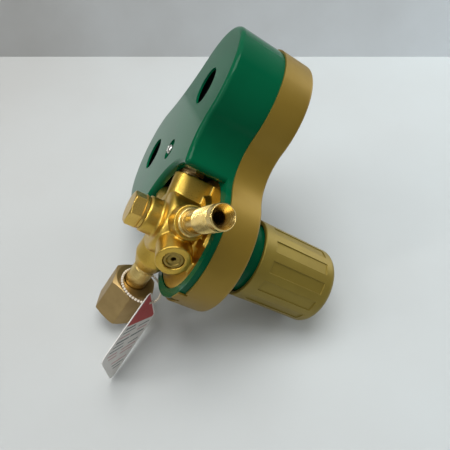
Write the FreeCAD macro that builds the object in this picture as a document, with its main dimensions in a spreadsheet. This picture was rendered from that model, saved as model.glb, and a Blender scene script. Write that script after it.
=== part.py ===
import FreeCAD, Part
import math
import os
import re

import Sketcher

# Gas pressure regulator with two gauges, in a moulded back cover and a gold front cover.
# Inside the script everything is laid out on the knob axis: X to the right seen from the
# front, Y to the back, Z up towards the gauges, millimetres. The finished pieces are
# placed so that the origin is the seat of the inlet nipple, where the regulator is held.

SIZES = (
    ("gauge_apart", 6.9, "from a gauge case to the middle plane"),
    ("lobe_side", "=case_radius + gauge_apart", "gauge centre, sideways from the knob axis"),
    ("lobe_up", 78.5, "gauge centre, above the knob axis"),
    ("gauge_room", 6.4, "from a gauge case to the outside of the back cover"),
    ("gauge_lobe", "=case_radius + gauge_room", "radius of the cover round each gauge"),
    ("flange_room", 5.9, "from the body's flange to the outside of the back cover"),
    ("knob_lobe", "=flange_radius + flange_room", "radius of the cover round the knob axis"),
    ("waist", 29.0, "radius of the hollow between the knob lobe and a gauge lobe"),
    ("crown", 160.0, "radius of the shallow hollow between the gauge lobes"),
    ("front_face", -2.7, "front of the front cover, along Y"),
    ("seam", 18.6, "back edge of the front cover"),
    ("ledge", 22.4, "low floor of the back cover round the body"),
    ("back_face", 49.4, "back of the back cover"),
    ("lip", 1.3, "how far the front cover stands out past the back cover"),
    ("cover_gap", 0.2, "gap between the two covers"),
    ("front_floor", 2.0, "thickness of the front cover's face"),
    ("front_round", 2.2, "rounding of the front cover's edge"),
    ("skirt", 6.0, "length of the back cover inside the front cover"),
    ("wall", 1.5, "wall of the back cover"),
    ("back_round", 3.0, "rounding of the back cover's edge"),
    ("arch_over", 12.3, "how much larger the arch is than the cover round the knob axis"),
    ("arch_radius", "=knob_lobe + arch_over", "radius of the arch over the body"),
    ("arch_top", 31.5, "top of the arch over the knob axis"),
    ("arch_border", 5.5, "turned border left round the opening in the arch"),
    ("arch_open", 27.0, "half width of the opening in the arch"),
    ("vent_radius", 12.4, "vent hole behind each gauge"),
    ("screw_up", 54.0, "cover screw above the knob axis"),
    ("dimple_radius", 7.3, "dimple under the cover screw"),
    ("dimple_deep", 1.2, "depth of that dimple"),
    ("post_radius", 4.6, "post of the front cover that takes the screw"),
    ("screw_radius", 1.9, "thread of the cover screw"),
    ("screw_head", 3.3, "head radius of the cover screw"),
    ("screw_rise", 2.6, "head height of the cover screw"),
    ("screw_long", 15.0, "length of the cover screw under its head"),
    ("tab_width", 9.0, "snap tab at the bottom of the front cover"),
    ("tab_rise", 4.0, "height of the snap tab"),
    ("tab_slot", 1.6, "width of the slot on each side of the tab"),
    ("fit_gap", 0.05, "radial clearance of a threaded or pressed piece"),
    ("slide_gap", 0.4, "radial clearance of a piece that moves freely"),
    ("flange_radius", 36.5, "clamping flange of the body"),
    ("flange_back", 22.0, "back of that flange, along Y"),
    ("flange_front", 7.3, "front of that flange, where the diaphragm lies"),
    ("diaphragm_thick", 0.8, "thickness of the diaphragm"),
    ("chamber_inset", 3.7, "from the clamping screws to the chamber"),
    ("chamber_radius", "=clamp_circle - chamber_inset", "open part of the diaphragm"),
    ("chamber_deep", 3.4, "depth of the low pressure chamber"),
    ("step_wide", 6.5, "width of the raised ring behind the flange"),
    ("step_radius", "=core_radius + step_wide", "radius of that ring"),
    ("step_rise", 3.6, "height of that ring"),
    ("core_radius", 20.0, "core of the body"),
    ("core_back", 45.0, "back of the core"),
    ("core_round", 4.0, "rounding of the core's back edge"),
    ("boss_radius", 11.5, "rear boss"),
    ("boss_back", 54.0, "end of the rear boss"),
    ("boss_chamfer", 1.0, "chamfer of the rear boss"),
    ("port_depth", 33.0, "plane of the outlet, relief and inlet, along Y"),
    ("stem_depth", 36.0, "plane of the gauge stems, along Y"),
    ("outlet_angle", 201.6, "direction of the outlet, from +X towards +Z"),
    ("relief_angle", 246.3, "direction of the relief port"),
    ("inlet_angle", -21.0, "direction of the inlet"),
    ("outlet_boss", 10.3, "radius of the outlet boss"),
    ("outlet_face", 29.5, "face of the outlet boss, from the knob axis"),
    ("scoop_radius", 17.0, "spot face cut round the outlet boss"),
    ("scoop_floor", 8.0, "floor of that cut, from the knob axis"),
    ("relief_boss", 10.5, "radius of the relief boss"),
    ("relief_face", 33.0, "face of the relief boss"),
    ("inlet_boss", 12.0, "radius of the inlet boss"),
    ("inlet_neck", 8.6, "small end of the inlet boss"),
    ("inlet_cone", 29.0, "start of the taper of the inlet boss"),
    ("inlet_face", 38.0, "face of the inlet boss"),
    ("port_boss", 9.5, "radius of each gauge port boss"),
    ("port_face", 31.6, "face of each gauge port boss"),
    ("port_thread", 4.9, "thread of each gauge port"),
    ("port_floor", 20.0, "bottom of each gauge port's thread"),
    ("passage", 2.0, "radius of the gas passages"),
    ("valve_bore", 8.0, "bore of the valve chamber"),
    ("seat_front", 26.0, "shoulder that the valve seat rests on, along Y"),
    ("seat_thick", 4.0, "thickness of the valve seat"),
    ("seat_hole", 2.6, "hole in the valve seat"),
    ("stem_radius", 1.5, "stem of the valve poppet"),
    ("poppet_radius", 5.0, "head of the valve poppet"),
    ("poppet_thick", 5.0, "length of that head"),
    ("poppet_tail", 2.2, "tail of the poppet in the rear plug"),
    ("valve_lift", 0.8, "travel of the diaphragm plate and the poppet"),
    ("plug_hex", 19.0, "width of the rear plug's hexagon across its flats"),
    ("plug_rise", 8.7, "height of that hexagon"),
    ("plug_skirt", 10.0, "thread of the rear plug"),
    ("gasket_thick", 0.8, "sealing ring under the rear plug"),
    ("plate_radius", 14.0, "diaphragm plate"),
    ("plate_thick", 3.0, "thickness of the diaphragm plate"),
    ("spring_mean", 10.5, "mean radius of the range spring"),
    ("spring_wire", 1.5, "wire radius of the range spring"),
    ("spring_turns", 4.5, "turns of the range spring"),
    ("bonnet_front", -0.6, "front of the bonnet's flange"),
    ("bonnet_bore", 17.0, "spring chamber of the bonnet"),
    ("bonnet_neck", 23.4, "neck of the bonnet under the knob"),
    ("bonnet_nose", -44.0, "front end of the bonnet"),
    ("bonnet_wall", 10.0, "thickness of the bonnet's threaded nose"),
    ("clamp_share", 0.6336, "place of the clamping screws between the neck and the rim"),
    ("clamp_circle", "=bonnet_neck + (flange_radius - bonnet_neck) * clamp_share", "their circle"),
    ("clamp_count", 6, "number of clamping screws"),
    ("clamp_screw", 2.0, "thread radius of a clamping screw"),
    ("clamp_head", 3.4, "head radius of a clamping screw"),
    ("clamp_deep", 3.2, "counterbore of a clamping screw"),
    ("clamp_long", 17.0, "length of a clamping screw under its head"),
    ("knob_radius", 26.6, "knob at its base"),
    ("knob_end_radius", 26.2, "knob at its front"),
    ("knob_base", -18.2, "base of the knob, along Y"),
    ("knob_end", -76.8, "front of the knob"),
    ("knob_bore", 24.3, "bore of the knob"),
    ("knob_wall", 9.0, "thickness of the knob's front wall"),
    ("knob_round", 5.0, "rounding of the knob's front edge"),
    ("knob_lip_round", 0.9, "rounding of the knob's base edge"),
    ("hub_radius", 12.0, "hub inside the knob"),
    ("hub_long", 12.0, "length of that hub"),
    ("flute_count", 12, "grip recesses round the knob"),
    ("flute_deep", 1.1, "depth of a grip recess"),
    ("flute_width", 7.6, "width of a grip recess"),
    ("flute_start", 8.4, "start of a recess, from the knob's base"),
    ("flute_end", 9.0, "end of a recess, from the knob's front"),
    ("cap_radius", 16.0, "disc set into the knob's front"),
    ("cap_thick", 2.0, "thickness of that disc"),
    ("spindle_radius", 7.9, "thread of the adjusting spindle"),
    ("spindle_tip", -31.0, "inner end of the spindle, along Y"),
    ("knob_pitch", 2.0, "advance of the knob in one turn"),
    ("knob_turns", 4, "turns of the knob"),
    ("ball_radius", 3.0, "thrust ball between spindle and spring button"),
    ("button_radius", 15.4, "spring button"),
    ("button_thick", 4.0, "thickness of the spring button"),
    ("nipple_radius", 7.5, "shank of the inlet nipple"),
    ("nipple_thread", 6.0, "thread of the nipple in the body"),
    ("nipple_bore", 2.4, "bore of the nipple"),
    ("nipple_seat", 66.0, "middle of the nipple's shoulder, from the knob axis"),
    ("shoulder_radius", 9.6, "shoulder of the nipple"),
    ("shoulder_long", 7.2, "length of that shoulder"),
    ("filter_radius", 3.4, "filter in the nipple's head"),
    ("filter_long", 12.0, "length of that filter"),
    ("washer_radius", 8.2, "sealing washer on the nipple's head"),
    ("washer_thick", 1.6, "thickness of that washer"),
    ("nut_flats", 28.6, "inlet nut across its flats"),
    ("nut_start", 56.0, "back of the inlet nut, from the knob axis"),
    ("nut_end", 87.0, "mouth of the inlet nut"),
    ("nut_wall", 6.2, "back wall of the inlet nut"),
    ("nut_thread", 10.8, "thread of the inlet nut"),
    ("nut_relief", 11.3, "relief behind the thread, round the nipple's shoulder"),
    ("nut_relief_end", 71.5, "end of that relief, from the knob axis"),
    ("nut_turn", 5.0, "how far the nut is turned about its axis"),
    ("nut_chamfer", 16.0, "radius where the nut's chamfer meets its end"),
    ("outlet_thread", 7.14, "thread of the outlet fitting"),
    ("outlet_end", 72.0, "tip of the outlet fitting, from the knob axis"),
    ("outlet_collar", 8.8, "collar of the outlet fitting"),
    ("outlet_collar_long", 3.2, "length of that collar"),
    ("outlet_screwed", 10.0, "part of the fitting inside the body"),
    ("outlet_bore", 3.2, "bore of the outlet fitting"),
    ("outlet_mouth", 6.3, "mouth of the fitting's seat cone"),
    ("outlet_cone", 5.4, "depth of the seat cone"),
    ("relief_bore", 6.2, "bore of the relief port"),
    ("relief_floor", 18.0, "bottom of the relief bore"),
    ("relief_sunk", 0.8, "relief cap below its face"),
    ("relief_cap_thick", 4.4, "thickness of the relief cap"),
    ("relief_vent", 1.3, "vent hole in the relief cap"),
    ("relief_disc", 3.4, "radius of the recess in the relief cap"),
    ("relief_poppet_radius", 4.6, "relief poppet"),
    ("relief_poppet_long", 4.0, "length of the relief poppet"),
    ("relief_lift", 1.2, "travel of the relief poppet"),
    ("case_radius", 34.5, "gauge case"),
    ("case_front", 10.5, "front of the gauge case, along Y"),
    ("case_back", 44.0, "back of the gauge case"),
    ("case_wall", 1.2, "wall of the gauge case"),
    ("lens_thick", 2.0, "gauge lens"),
    ("dial_depth", 16.4, "front of the dial, along Y"),
    ("dial_thick", 0.8, "thickness of the dial"),
    ("bezel_inset", 1.5, "how much smaller the bezel's sleeve is than the case"),
    ("bezel_radius", "=case_radius - bezel_inset", "sleeve of the bezel in the front cover"),
    ("bezel_wall", 2.2, "wall of that sleeve"),
    ("bezel_flare", 2.6, "how far the bezel's lip stands out past its sleeve"),
    ("bezel_lip", "=bezel_radius + bezel_flare", "lip of the bezel on the front cover"),
    ("bezel_rise", 1.4, "height of that lip"),
    ("socket_radius", 6.0, "neck of a gauge socket"),
    ("socket_hex", 14.0, "wrench flats of a gauge socket"),
    ("socket_block", 11.0, "socket block inside a gauge case"),
    ("socket_deep", 8.0, "that block along Y"),
    ("tube_inset", 12.5, "from the gauge case to the middle of a bourdon tube"),
    ("tube_radius", "=case_radius - tube_inset", "bend radius of a bourdon tube"),
    ("tube_thick", 2.2, "section radius of a bourdon tube"),
    ("tube_sweep", 250.0, "how far a bourdon tube runs round"),
    ("arbor_radius", 1.0, "arbor of a pointer"),
    ("movement_radius", 9.0, "plate of a gauge movement"),
    ("movement_leg", 1.3, "legs of that plate"),
    ("pointer_clear", 9.5, "from a pointer's tip to the gauge case"),
    ("pointer_long", "=case_radius - pointer_clear", "pointer, from its arbor"),
    ("pointer_tail", 9.0, "tail of a pointer"),
    ("pointer_hub", 3.2, "hub of a pointer"),
    ("pointer_zero", 225.0, "direction of a pointer at rest, from +X towards +Z"),
    ("chain_loop", 14.8, "loop of the tag's chain round the nipple"),
    ("chain_radius", 1.0, "the chain itself"),
    ("chain_low", 3.35, "how far the loop hangs aside, down"),
    ("chain_front", 5.2, "how far the loop hangs aside, to the front"),
    ("tag_long", 52.7, "length of the hang tag"),
    ("tag_wide", 40.2, "width of the hang tag"),
    ("tag_thick", 0.5, "thickness of the hang tag"),
    ("tag_corner", 5.0, "rounding of the tag's corners"),
    ("tag_hole", 2.6, "hole in the tag"),
    ("tag_hole_in", 4.4, "that hole, from the tag's upper edge"),
    ("tag_hole_side", 12.4, "that hole, from the tag's side"),
)

ALIASES = {row[0] for row in SIZES}
X = FreeCAD.Vector(1, 0, 0)
Y = FreeCAD.Vector(0, 1, 0)
Z = FreeCAD.Vector(0, 0, 1)
UPRIGHT = FreeCAD.Rotation()

doc = FreeCAD.newDocument("Regulator")
sheet = doc.addObject("Spreadsheet::Sheet", "Sizes")
for row_number, (alias, value, meaning) in enumerate(SIZES, start=1):
    sheet.set(f"A{row_number}", meaning)
    sheet.setAlias(f"B{row_number}", alias)
for row_number, (alias, value, meaning) in enumerate(SIZES, start=1):
    sheet.set(f"B{row_number}", str(value))
doc.recompute()


def linked(expression):
    """Writes an expression over the sheet's aliases so that another object can use it."""
    return re.sub(r"[a-z_]+", lambda word: "Sizes." + word[0] if word[0] in ALIASES else word[0], expression)


def size(expression):
    """Gives the number that an expression over the sheet's aliases has now."""
    found = sheet.evalExpression(expression)
    return float(getattr(found, "Value", found))


def bind(thing, attribute, expression):
    """Ties one property of an object to the sheet."""
    thing.setExpression(attribute, linked(expression))


def along(angle, distance, depth):
    """A point at a distance from the knob axis in a direction of the XZ plane."""
    turn = math.radians(angle)
    return FreeCAD.Vector(distance * math.cos(turn), depth, distance * math.sin(turn))


def facing(direction):
    """The rotation that turns the +Z of a piece's own frame to a direction."""
    return FreeCAD.Rotation(Z, direction)


def ray(angle):
    """The unit vector of a direction in the XZ plane."""
    return along(angle, 1.0, 0.0)


SEAT = along(size("inlet_angle"), size("nipple_seat"), size("port_depth"))
LEFT_PORT = math.degrees(math.atan2(size("lobe_up"), -size("lobe_side")))
RIGHT_PORT = math.degrees(math.atan2(size("lobe_up"), size("lobe_side")))
GAUGE_REACH = math.hypot(size("lobe_up"), size("lobe_side"))

# The tag lies as it does in the photograph: its hole on the chain, then the way of its
# length and of its width.
TAG_HOLE = FreeCAD.Vector(45.176, 21.984, -35.507)
TAG_LENGTH = FreeCAD.Vector(0.148, 0.3067, -0.9402)
TAG_WIDTH = FreeCAD.Vector(0.8877, -0.4603, -0.0104)
TAG_TURN = FreeCAD.Rotation(TAG_LENGTH, TAG_WIDTH, TAG_LENGTH.cross(TAG_WIDTH), "ZXY")


def finished(piece, label, base=FreeCAD.Vector(), rotation=UPRIGHT):
    """Names a sub-part and places it from the knob axis into the part's own frame."""
    piece.Label = label
    piece.Placement = FreeCAD.Placement(base - SEAT, rotation)
    SUB_PARTS.append(piece)
    return piece


SUB_PARTS = []


def origin_plane(body, role):
    """One of a body's own three planes."""
    return next(plane for plane in body.Origin.OriginFeatures if plane.Role == role)


def new_body(name):
    """An empty PartDesign body."""
    return doc.addObject("PartDesign::Body", name)


def new_sketch(body, name, role, lift="0"):
    """A sketch on one of the body's planes, lifted along the plane's normal."""
    sketch = body.newObject("Sketcher::SketchObject", name)
    sketch.AttachmentSupport = [(origin_plane(body, role), "")]
    sketch.MapMode = "FlatFace"
    if lift != "0":
        sketch.AttachmentOffset = FreeCAD.Placement(FreeCAD.Vector(0, 0, size(lift)), UPRIGHT)
        bind(sketch, "AttachmentOffset.Base.z", lift)
    return sketch


def pin_point(sketch, geometry, end, across, up):
    """Ties a point of the sketch to two expressions measured from the sketch's origin."""
    for kind, expression, axis in (("DistanceX", across, -2), ("DistanceY", up, -1)):
        if expression == "0":
            sketch.addConstraint(Sketcher.Constraint("PointOnObject", geometry, end, axis))
        else:
            number = sketch.addConstraint(
                Sketcher.Constraint(kind, -1, 1, geometry, end, size(expression))
            )
            bind(sketch, f"Constraints[{number}]", expression)


def polygon(sketch, corners):
    """Draws a closed polygon whose corners are pairs of expressions."""
    points = [FreeCAD.Vector(size(across), size(up), 0) for across, up in corners]
    count = len(points)
    for index in range(count):
        sketch.addGeometry(Part.LineSegment(points[index], points[(index + 1) % count]), False)
    for index in range(count):
        sketch.addConstraint(Sketcher.Constraint("Coincident", index, 2, (index + 1) % count, 1))
    for index, (across, up) in enumerate(corners):
        pin_point(sketch, index, 1, across, up)


def circle(sketch, across, up, radius):
    """Draws a circle whose centre and radius are expressions."""
    centre = FreeCAD.Vector(size(across), size(up), 0)
    index = sketch.addGeometry(Part.Circle(centre, Z, size(radius)), False)
    pin_point(sketch, index, 3, across, up)
    number = sketch.addConstraint(Sketcher.Constraint("Radius", index, size(radius)))
    bind(sketch, f"Constraints[{number}]", radius)


def turned(name, profile):
    """A lathe piece: a closed profile of (radius, height) expressions turned about Z."""
    body = new_body(name)
    sketch = new_sketch(body, name + "_profile", "XZ_Plane")
    polygon(sketch, profile)
    turn = body.newObject("PartDesign::Revolution", name + "_turn")
    turn.Profile = sketch
    turn.ReferenceAxis = (sketch, ["V_Axis"])
    turn.Angle = 360
    doc.recompute()
    return body


def padded(body, sketch, length, kind="PartDesign::Pad", reverse=False):
    """Pads or pockets a sketch of a body by a length expression."""
    feature = body.newObject(kind, sketch.Name + "_cut" if kind.endswith("Pocket") else sketch.Name + "_pad")
    feature.Profile = sketch
    feature.Length = size(length)
    bind(feature, "Length", length)
    feature.Reversed = reverse
    doc.recompute()
    return feature


def patterned(body, feature, count):
    """Repeats a feature round the body's own Z axis."""
    pattern = body.newObject("PartDesign::PolarPattern", feature.Name + "_round")
    pattern.Originals = [feature]
    pattern.Axis = (next(line for line in body.Origin.OriginFeatures if line.Role == "Z_Axis"), [""])
    pattern.Angle = 360
    pattern.Occurrences = int(size(count))
    bind(pattern, "Occurrences", count)
    body.Tip = pattern
    doc.recompute()
    return pattern


def ring_edges(shape, radius, height):
    """The names of the circular edges with a radius expression at a height expression."""
    names = []
    for index, edge in enumerate(shape.Edges, start=1):
        curve = edge.Curve
        if isinstance(curve, Part.Circle) and abs(curve.Radius - size(radius)) < 1e-4:
            if abs(curve.Center.z - size(height)) < 1e-4:
                names.append(f"Edge{index}")
    return names


def softened(body, kind, rings, amount):
    """Rounds or chamfers the circular edges of a body given as (radius, height) pairs."""
    tip = body.Tip
    names = [name for radius, height in rings for name in ring_edges(tip.Shape, radius, height)]
    feature = body.newObject("PartDesign::" + kind, f"{body.Name}_{kind.lower()}{len(body.Group)}")
    feature.Base = (tip, names)
    attribute = "Radius" if kind == "Fillet" else "Size"
    setattr(feature, attribute, size(amount))
    bind(feature, attribute, amount)
    doc.recompute()
    return feature


def cylinder(name, radius, start, end, direction=Y, base=FreeCAD.Vector()):
    """A Part cylinder from a start to an end expression along a direction from a base."""
    rod = doc.addObject("Part::Cylinder", name)
    rod.Radius = size(radius)
    rod.Height = size(f"({end}) - ({start})")
    bind(rod, "Radius", radius)
    bind(rod, "Height", f"({end}) - ({start})")
    rod.Placement = FreeCAD.Placement(base + direction * size(start), facing(direction))
    return rod


def cone(name, radius_one, radius_two, start, end, direction=Y, base=FreeCAD.Vector()):
    """A Part cone between two expressions along a direction from a base."""
    taper = doc.addObject("Part::Cone", name)
    for attribute, expression in (
        ("Radius1", radius_one),
        ("Radius2", radius_two),
        ("Height", f"({end}) - ({start})"),
    ):
        setattr(taper, attribute, size(expression))
        bind(taper, attribute, expression)
    taper.Placement = FreeCAD.Placement(base + direction * size(start), facing(direction))
    return taper


def block(name, long_x, long_y, long_z, corner, rotation=UPRIGHT):
    """A Part box with three length expressions, its corner at a point."""
    box = doc.addObject("Part::Box", name)
    for attribute, expression in (("Length", long_x), ("Width", long_y), ("Height", long_z)):
        setattr(box, attribute, size(expression))
        bind(box, attribute, expression)
    box.Placement = FreeCAD.Placement(corner, rotation)
    return box


def prism(name, flats, rise, direction, base, turn=0.0):
    """A hexagonal Part prism with its width across flats, standing on a base point."""
    hexagon = doc.addObject("Part::Prism", name)
    hexagon.Polygon = 6
    hexagon.Circumradius = size(f"({flats}) / (2 * cos(30))")
    hexagon.Height = size(rise)
    bind(hexagon, "Circumradius", f"({flats}) / (2 * cos(30))")
    bind(hexagon, "Height", rise)
    hexagon.Placement = FreeCAD.Placement(base, facing(direction) * FreeCAD.Rotation(Z, turn))
    return hexagon


def fused(name, pieces):
    """The union of several Part objects."""
    union = doc.addObject("Part::MultiFuse", name)
    union.Shapes = pieces
    union.Refine = True
    doc.recompute()
    return union


def cut(name, base, tools):
    """A Part object with the union of its tools taken away."""
    tool = tools[0] if len(tools) == 1 else fused(name + "_tools", tools)
    less = doc.addObject("Part::Cut", name)
    less.Base = base
    less.Tool = tool
    less.Refine = True
    doc.recompute()
    return less


def common(name, base, tool):
    """What two Part objects share."""
    shared = doc.addObject("Part::Common", name)
    shared.Base = base
    shared.Tool = tool
    doc.recompute()
    return shared


def rounded(name, base, wanted, radius):
    """A Part object with the edges that a test picks rounded by a radius expression."""
    fillet = doc.addObject("Part::Fillet", name)
    fillet.Base = base
    amount = size(radius)
    fillet.Edges = [
        (index, amount, amount)
        for index, edge in enumerate(base.Shape.Edges, start=1)
        if wanted(edge)
    ]
    doc.recompute()
    return fillet


def outline_sketch(name, grow, depth):
    """The three-lobed outline of the covers, grown by an expression, in a plane along Y."""
    sketch = doc.addObject("Sketcher::SketchObject", name)
    sketch.Placement = FreeCAD.Placement(
        FreeCAD.Vector(0, size(depth), 0), FreeCAD.Rotation(X, 90)
    )
    bind(sketch, "Placement.Base.y", depth)
    side, up = size("lobe_side"), size("lobe_up")
    more = size(grow)
    radii = {
        "knob": size("knob_lobe") + more,
        "gauge": size("gauge_lobe") + more,
        "waist": size("waist") - more,
        "crown": size("crown") - more,
    }
    reach = math.hypot(side, up)
    near, far = radii["knob"] + radii["waist"], radii["gauge"] + radii["waist"]
    forward = (reach**2 + near**2 - far**2) / (2 * reach)
    aside = math.sqrt(near**2 - forward**2)
    waist_x = forward * side / reach + aside * up / reach
    waist_z = forward * up / reach - aside * side / reach
    crown_z = up + math.sqrt((radii["gauge"] + radii["crown"]) ** 2 - side**2)
    centres = {
        "knob": (0.0, 0.0),
        "right_waist": (waist_x, waist_z),
        "right": (side, up),
        "crown": (0.0, crown_z),
        "left": (-side, up),
        "left_waist": (-waist_x, waist_z),
    }

    def bearing(start, end):
        """The direction from one centre to another, in radians."""
        return math.atan2(
            centres[end][1] - centres[start][1], centres[end][0] - centres[start][0]
        )

    arcs = (
        ("knob", "knob", "left_waist", "right_waist"),
        ("right_waist", "waist", "right", "knob"),
        ("right", "gauge", "right_waist", "crown"),
        ("crown", "crown", "left", "right"),
        ("left", "gauge", "crown", "left_waist"),
        ("left_waist", "waist", "knob", "left"),
    )
    index = {}
    for place, radius, start, end in arcs:
        round_arc = Part.Circle(FreeCAD.Vector(*centres[place], 0), Z, radii[radius])
        index[place] = sketch.addGeometry(
            Part.ArcOfCircle(round_arc, bearing(place, start), bearing(place, end)), False
        )
    joints = (
        ("knob", 2, "right_waist", 2),
        ("right_waist", 1, "right", 1),
        ("right", 2, "crown", 2),
        ("crown", 1, "left", 1),
        ("left", 2, "left_waist", 2),
        ("left_waist", 1, "knob", 1),
    )
    for one, end_one, two, end_two in joints:
        sketch.addConstraint(
            Sketcher.Constraint("Tangent", index[one], end_one, index[two], end_two)
        )
    pin_point(sketch, index["knob"], 3, "0", "0")
    pin_point(sketch, index["left"], 3, "-lobe_side", "lobe_up")
    pin_point(sketch, index["right"], 3, "lobe_side", "lobe_up")
    for place, expression in (
        ("knob", f"knob_lobe + ({grow})"),
        ("left", f"gauge_lobe + ({grow})"),
        ("right", f"gauge_lobe + ({grow})"),
        ("crown", f"crown - ({grow})"),
        ("left_waist", f"waist - ({grow})"),
        ("right_waist", f"waist - ({grow})"),
    ):
        number = sketch.addConstraint(Sketcher.Constraint("Radius", index[place], size(expression)))
        bind(sketch, f"Constraints[{number}]", expression)
    return sketch


def outline_block(name, grow, start, end):
    """The covers' outline as a solid between two places along Y."""
    solid = doc.addObject("Part::Extrusion", name)
    solid.Base = outline_sketch(name + "_outline", grow, start)
    solid.DirMode = "Custom"
    solid.Dir = Y
    solid.Solid = True
    solid.LengthFwd = size(f"({end}) - ({start})")
    bind(solid, "LengthFwd", f"({end}) - ({start})")
    doc.recompute()
    return solid


def on_level(edge, expression):
    """Whether every point of an edge lies at one place along Y."""
    level = size(expression)
    return all(abs(point.y - level) < 1e-4 for point in edge.discretize(5))


def sector(name, inner, outer, middle, half_width, start, end):
    """A curved bar about the knob axis, cut to a width, between two places along Y."""
    ring = cut(
        name + "_ring",
        cylinder(name + "_outer", outer, start, end),
        [cylinder(name + "_inner", inner, start, end)],
    )
    reach = size(outer) + 1.0
    centre = size(middle)
    half = size(half_width)
    bar = block(
        name + "_bar",
        f"2 * ({half_width})",
        f"({end}) - ({start})",
        f"({outer}) + 1",
        FreeCAD.Vector(centre - half, size(start), -reach),
    )
    return common(name, ring, bar)


def make_front_cover():
    """The gold front cover: a shallow dish with windows, a screw post and a snap tab."""
    solid = outline_block("front_solid", "lip", "front_face", "seam")
    solid = rounded("front_edge", solid, lambda edge: on_level(edge, "front_face"), "front_round")
    hollow = outline_block("front_hollow", "cover_gap", "front_face + front_floor", "seam + 1")
    dish = cut("front_dish", solid, [hollow])
    post_start, post_end = "front_face + front_floor / 2", "back_face - wall - dimple_deep - cover_gap"
    screw_axis = FreeCAD.Vector(0, 0, size("screw_up"))
    post = cylinder("front_post", "post_radius", post_start, post_end, Y, screw_axis)
    outer_tab, inner_tab = "knob_lobe + lip", "knob_lobe + cover_gap"
    tab = sector("front_tab", inner_tab, outer_tab, "0", "tab_width / 2", "seam - 1", "seam + tab_rise")
    whole = fused("front_whole", [dish, post, tab])
    slots = [
        sector(
            f"front_slot_{side}",
            "knob_lobe",
            "knob_lobe + lip + 1",
            f"{sign} * (tab_width + tab_slot) / 2",
            "tab_slot / 2",
            "seam - tab_slot",
            "seam + 1",
        )
        for side, sign in (("left", -1), ("right", 1))
    ]
    windows = [
        cylinder(
            f"front_window_{side}",
            "bezel_radius + cover_gap",
            "front_face - 1",
            "front_face + front_floor + 1",
            Y,
            FreeCAD.Vector(sign * size("lobe_side"), 0, size("lobe_up")),
        )
        for side, sign in (("left", -1), ("right", 1))
    ]
    neck = cylinder(
        "front_neck", "bonnet_neck + cover_gap", "front_face - 1", "front_face + front_floor + 1"
    )
    screw_start = "back_face - dimple_deep - screw_long - 1"
    pilot = cylinder(
        "front_pilot", "screw_radius + fit_gap", screw_start, "back_face", Y, screw_axis
    )
    finished(cut("front_cover", whole, windows + slots + [neck, pilot]), "front_cover")


def cover_form(name, grow, start, shoulder, end, arch, radius):
    """A solid with the covers' outline, high over the gauges and low round the body."""
    solid = outline_block(name + "_solid", grow, start, end)
    centre = FreeCAD.Vector(0, 0, size("arch_top - arch_radius"))
    arch_tool = cylinder(name + "_arch", arch, shoulder, f"({end}) + 10", Y, centre)
    form = cut(name + "_form", solid, [arch_tool])
    low, high = size(shoulder), size(end)

    def outer_edge(edge):
        """Picks the edges of the back face and the two upright corners of the arch."""
        points = edge.discretize(5)
        upright = all(abs(point.x - points[0].x) < 1e-4 for point in points)
        tall = abs(points[0].y - points[-1].y) > 0.9 * (high - low)
        near_arch = abs(points[0].z) < size("arch_top") and points[0].z > 0
        return on_level(edge, end) or (upright and tall and near_arch and min(
            points[0].y, points[-1].y) > low - 1e-3)

    return rounded(name + "_round", form, outer_edge, radius)


def make_back_cover():
    """The green back cover: a deep shell over the gauges that arches over the body."""
    outer = cover_form(
        "back_outer", "0", "seam - skirt", "ledge", "back_face", "arch_radius", "back_round"
    )
    inner = cover_form(
        "back_inner",
        "-wall",
        "seam - skirt - 1",
        "ledge - wall",
        "back_face - wall",
        "arch_radius + wall",
        "back_round - wall",
    )
    shell = cut("back_shell", outer, [inner])
    screw_axis = FreeCAD.Vector(0, 0, size("screw_up"))
    dish = cylinder(
        "back_dish",
        "dimple_radius + wall",
        "back_face - wall - dimple_deep",
        "back_face - wall / 2",
        Y,
        screw_axis,
    )
    whole = fused("back_whole", [shell, dish])
    seat = cylinder(
        "back_seat", "flange_radius + slide_gap", "ledge - wall - 1", "ledge + 1"
    )
    mouth = block(
        "back_mouth",
        "2 * arch_open",
        "back_face - arch_border - ledge + wall + 1",
        "arch_top + wall + 4",
        FreeCAD.Vector(-size("arch_open"), size("ledge - wall - 1"), 0),
    )
    dimple = cylinder(
        "back_dimple", "dimple_radius", "back_face - dimple_deep", "back_face + 1", Y, screw_axis
    )
    screw_hole = cylinder(
        "back_screw_hole", "screw_radius + slide_gap", "back_face - 6", "back_face", Y, screw_axis
    )
    vents = [
        cylinder(
            f"back_vent_{side}",
            "vent_radius",
            "back_face - wall - 1",
            "back_face + 1",
            Y,
            FreeCAD.Vector(sign * size("lobe_side"), 0, size("lobe_up")),
        )
        for side, sign in (("left", -1), ("right", 1))
    ]
    finished(
        cut("back_cover", whole, vents + [seat, mouth, dimple, screw_hole]), "back_cover"
    )


def make_cover_screw():
    """The pan-head screw that draws the two covers together."""
    screw = turned(
        "cover_screw_blank",
        (
            ("0", "-screw_long"),
            ("screw_radius", "-screw_long"),
            ("screw_radius", "0"),
            ("screw_head", "0"),
            ("screw_head", "screw_rise"),
            ("0", "screw_rise"),
        ),
    )
    softened(screw, "Fillet", (("screw_head", "screw_rise"),), "screw_rise * 0.55")
    slots = [
        block(
            f"screw_slot_{turn}",
            "screw_head",
            "screw_head / 5",
            "screw_rise",
            FreeCAD.Rotation(Z, turn).multVec(
                FreeCAD.Vector(-size("screw_head / 2"), -size("screw_head / 10"), 0)
            )
            + Z * size("screw_rise * 0.45"),
            FreeCAD.Rotation(Z, turn),
        )
        for turn in (30, 120)
    ]
    doc.recompute()
    driven = cut("cover_screw_driven", screw, slots)
    seat = FreeCAD.Vector(0, size("back_face - dimple_deep"), size("screw_up"))
    finished(driven, "cover_screw", seat, facing(Y))


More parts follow.
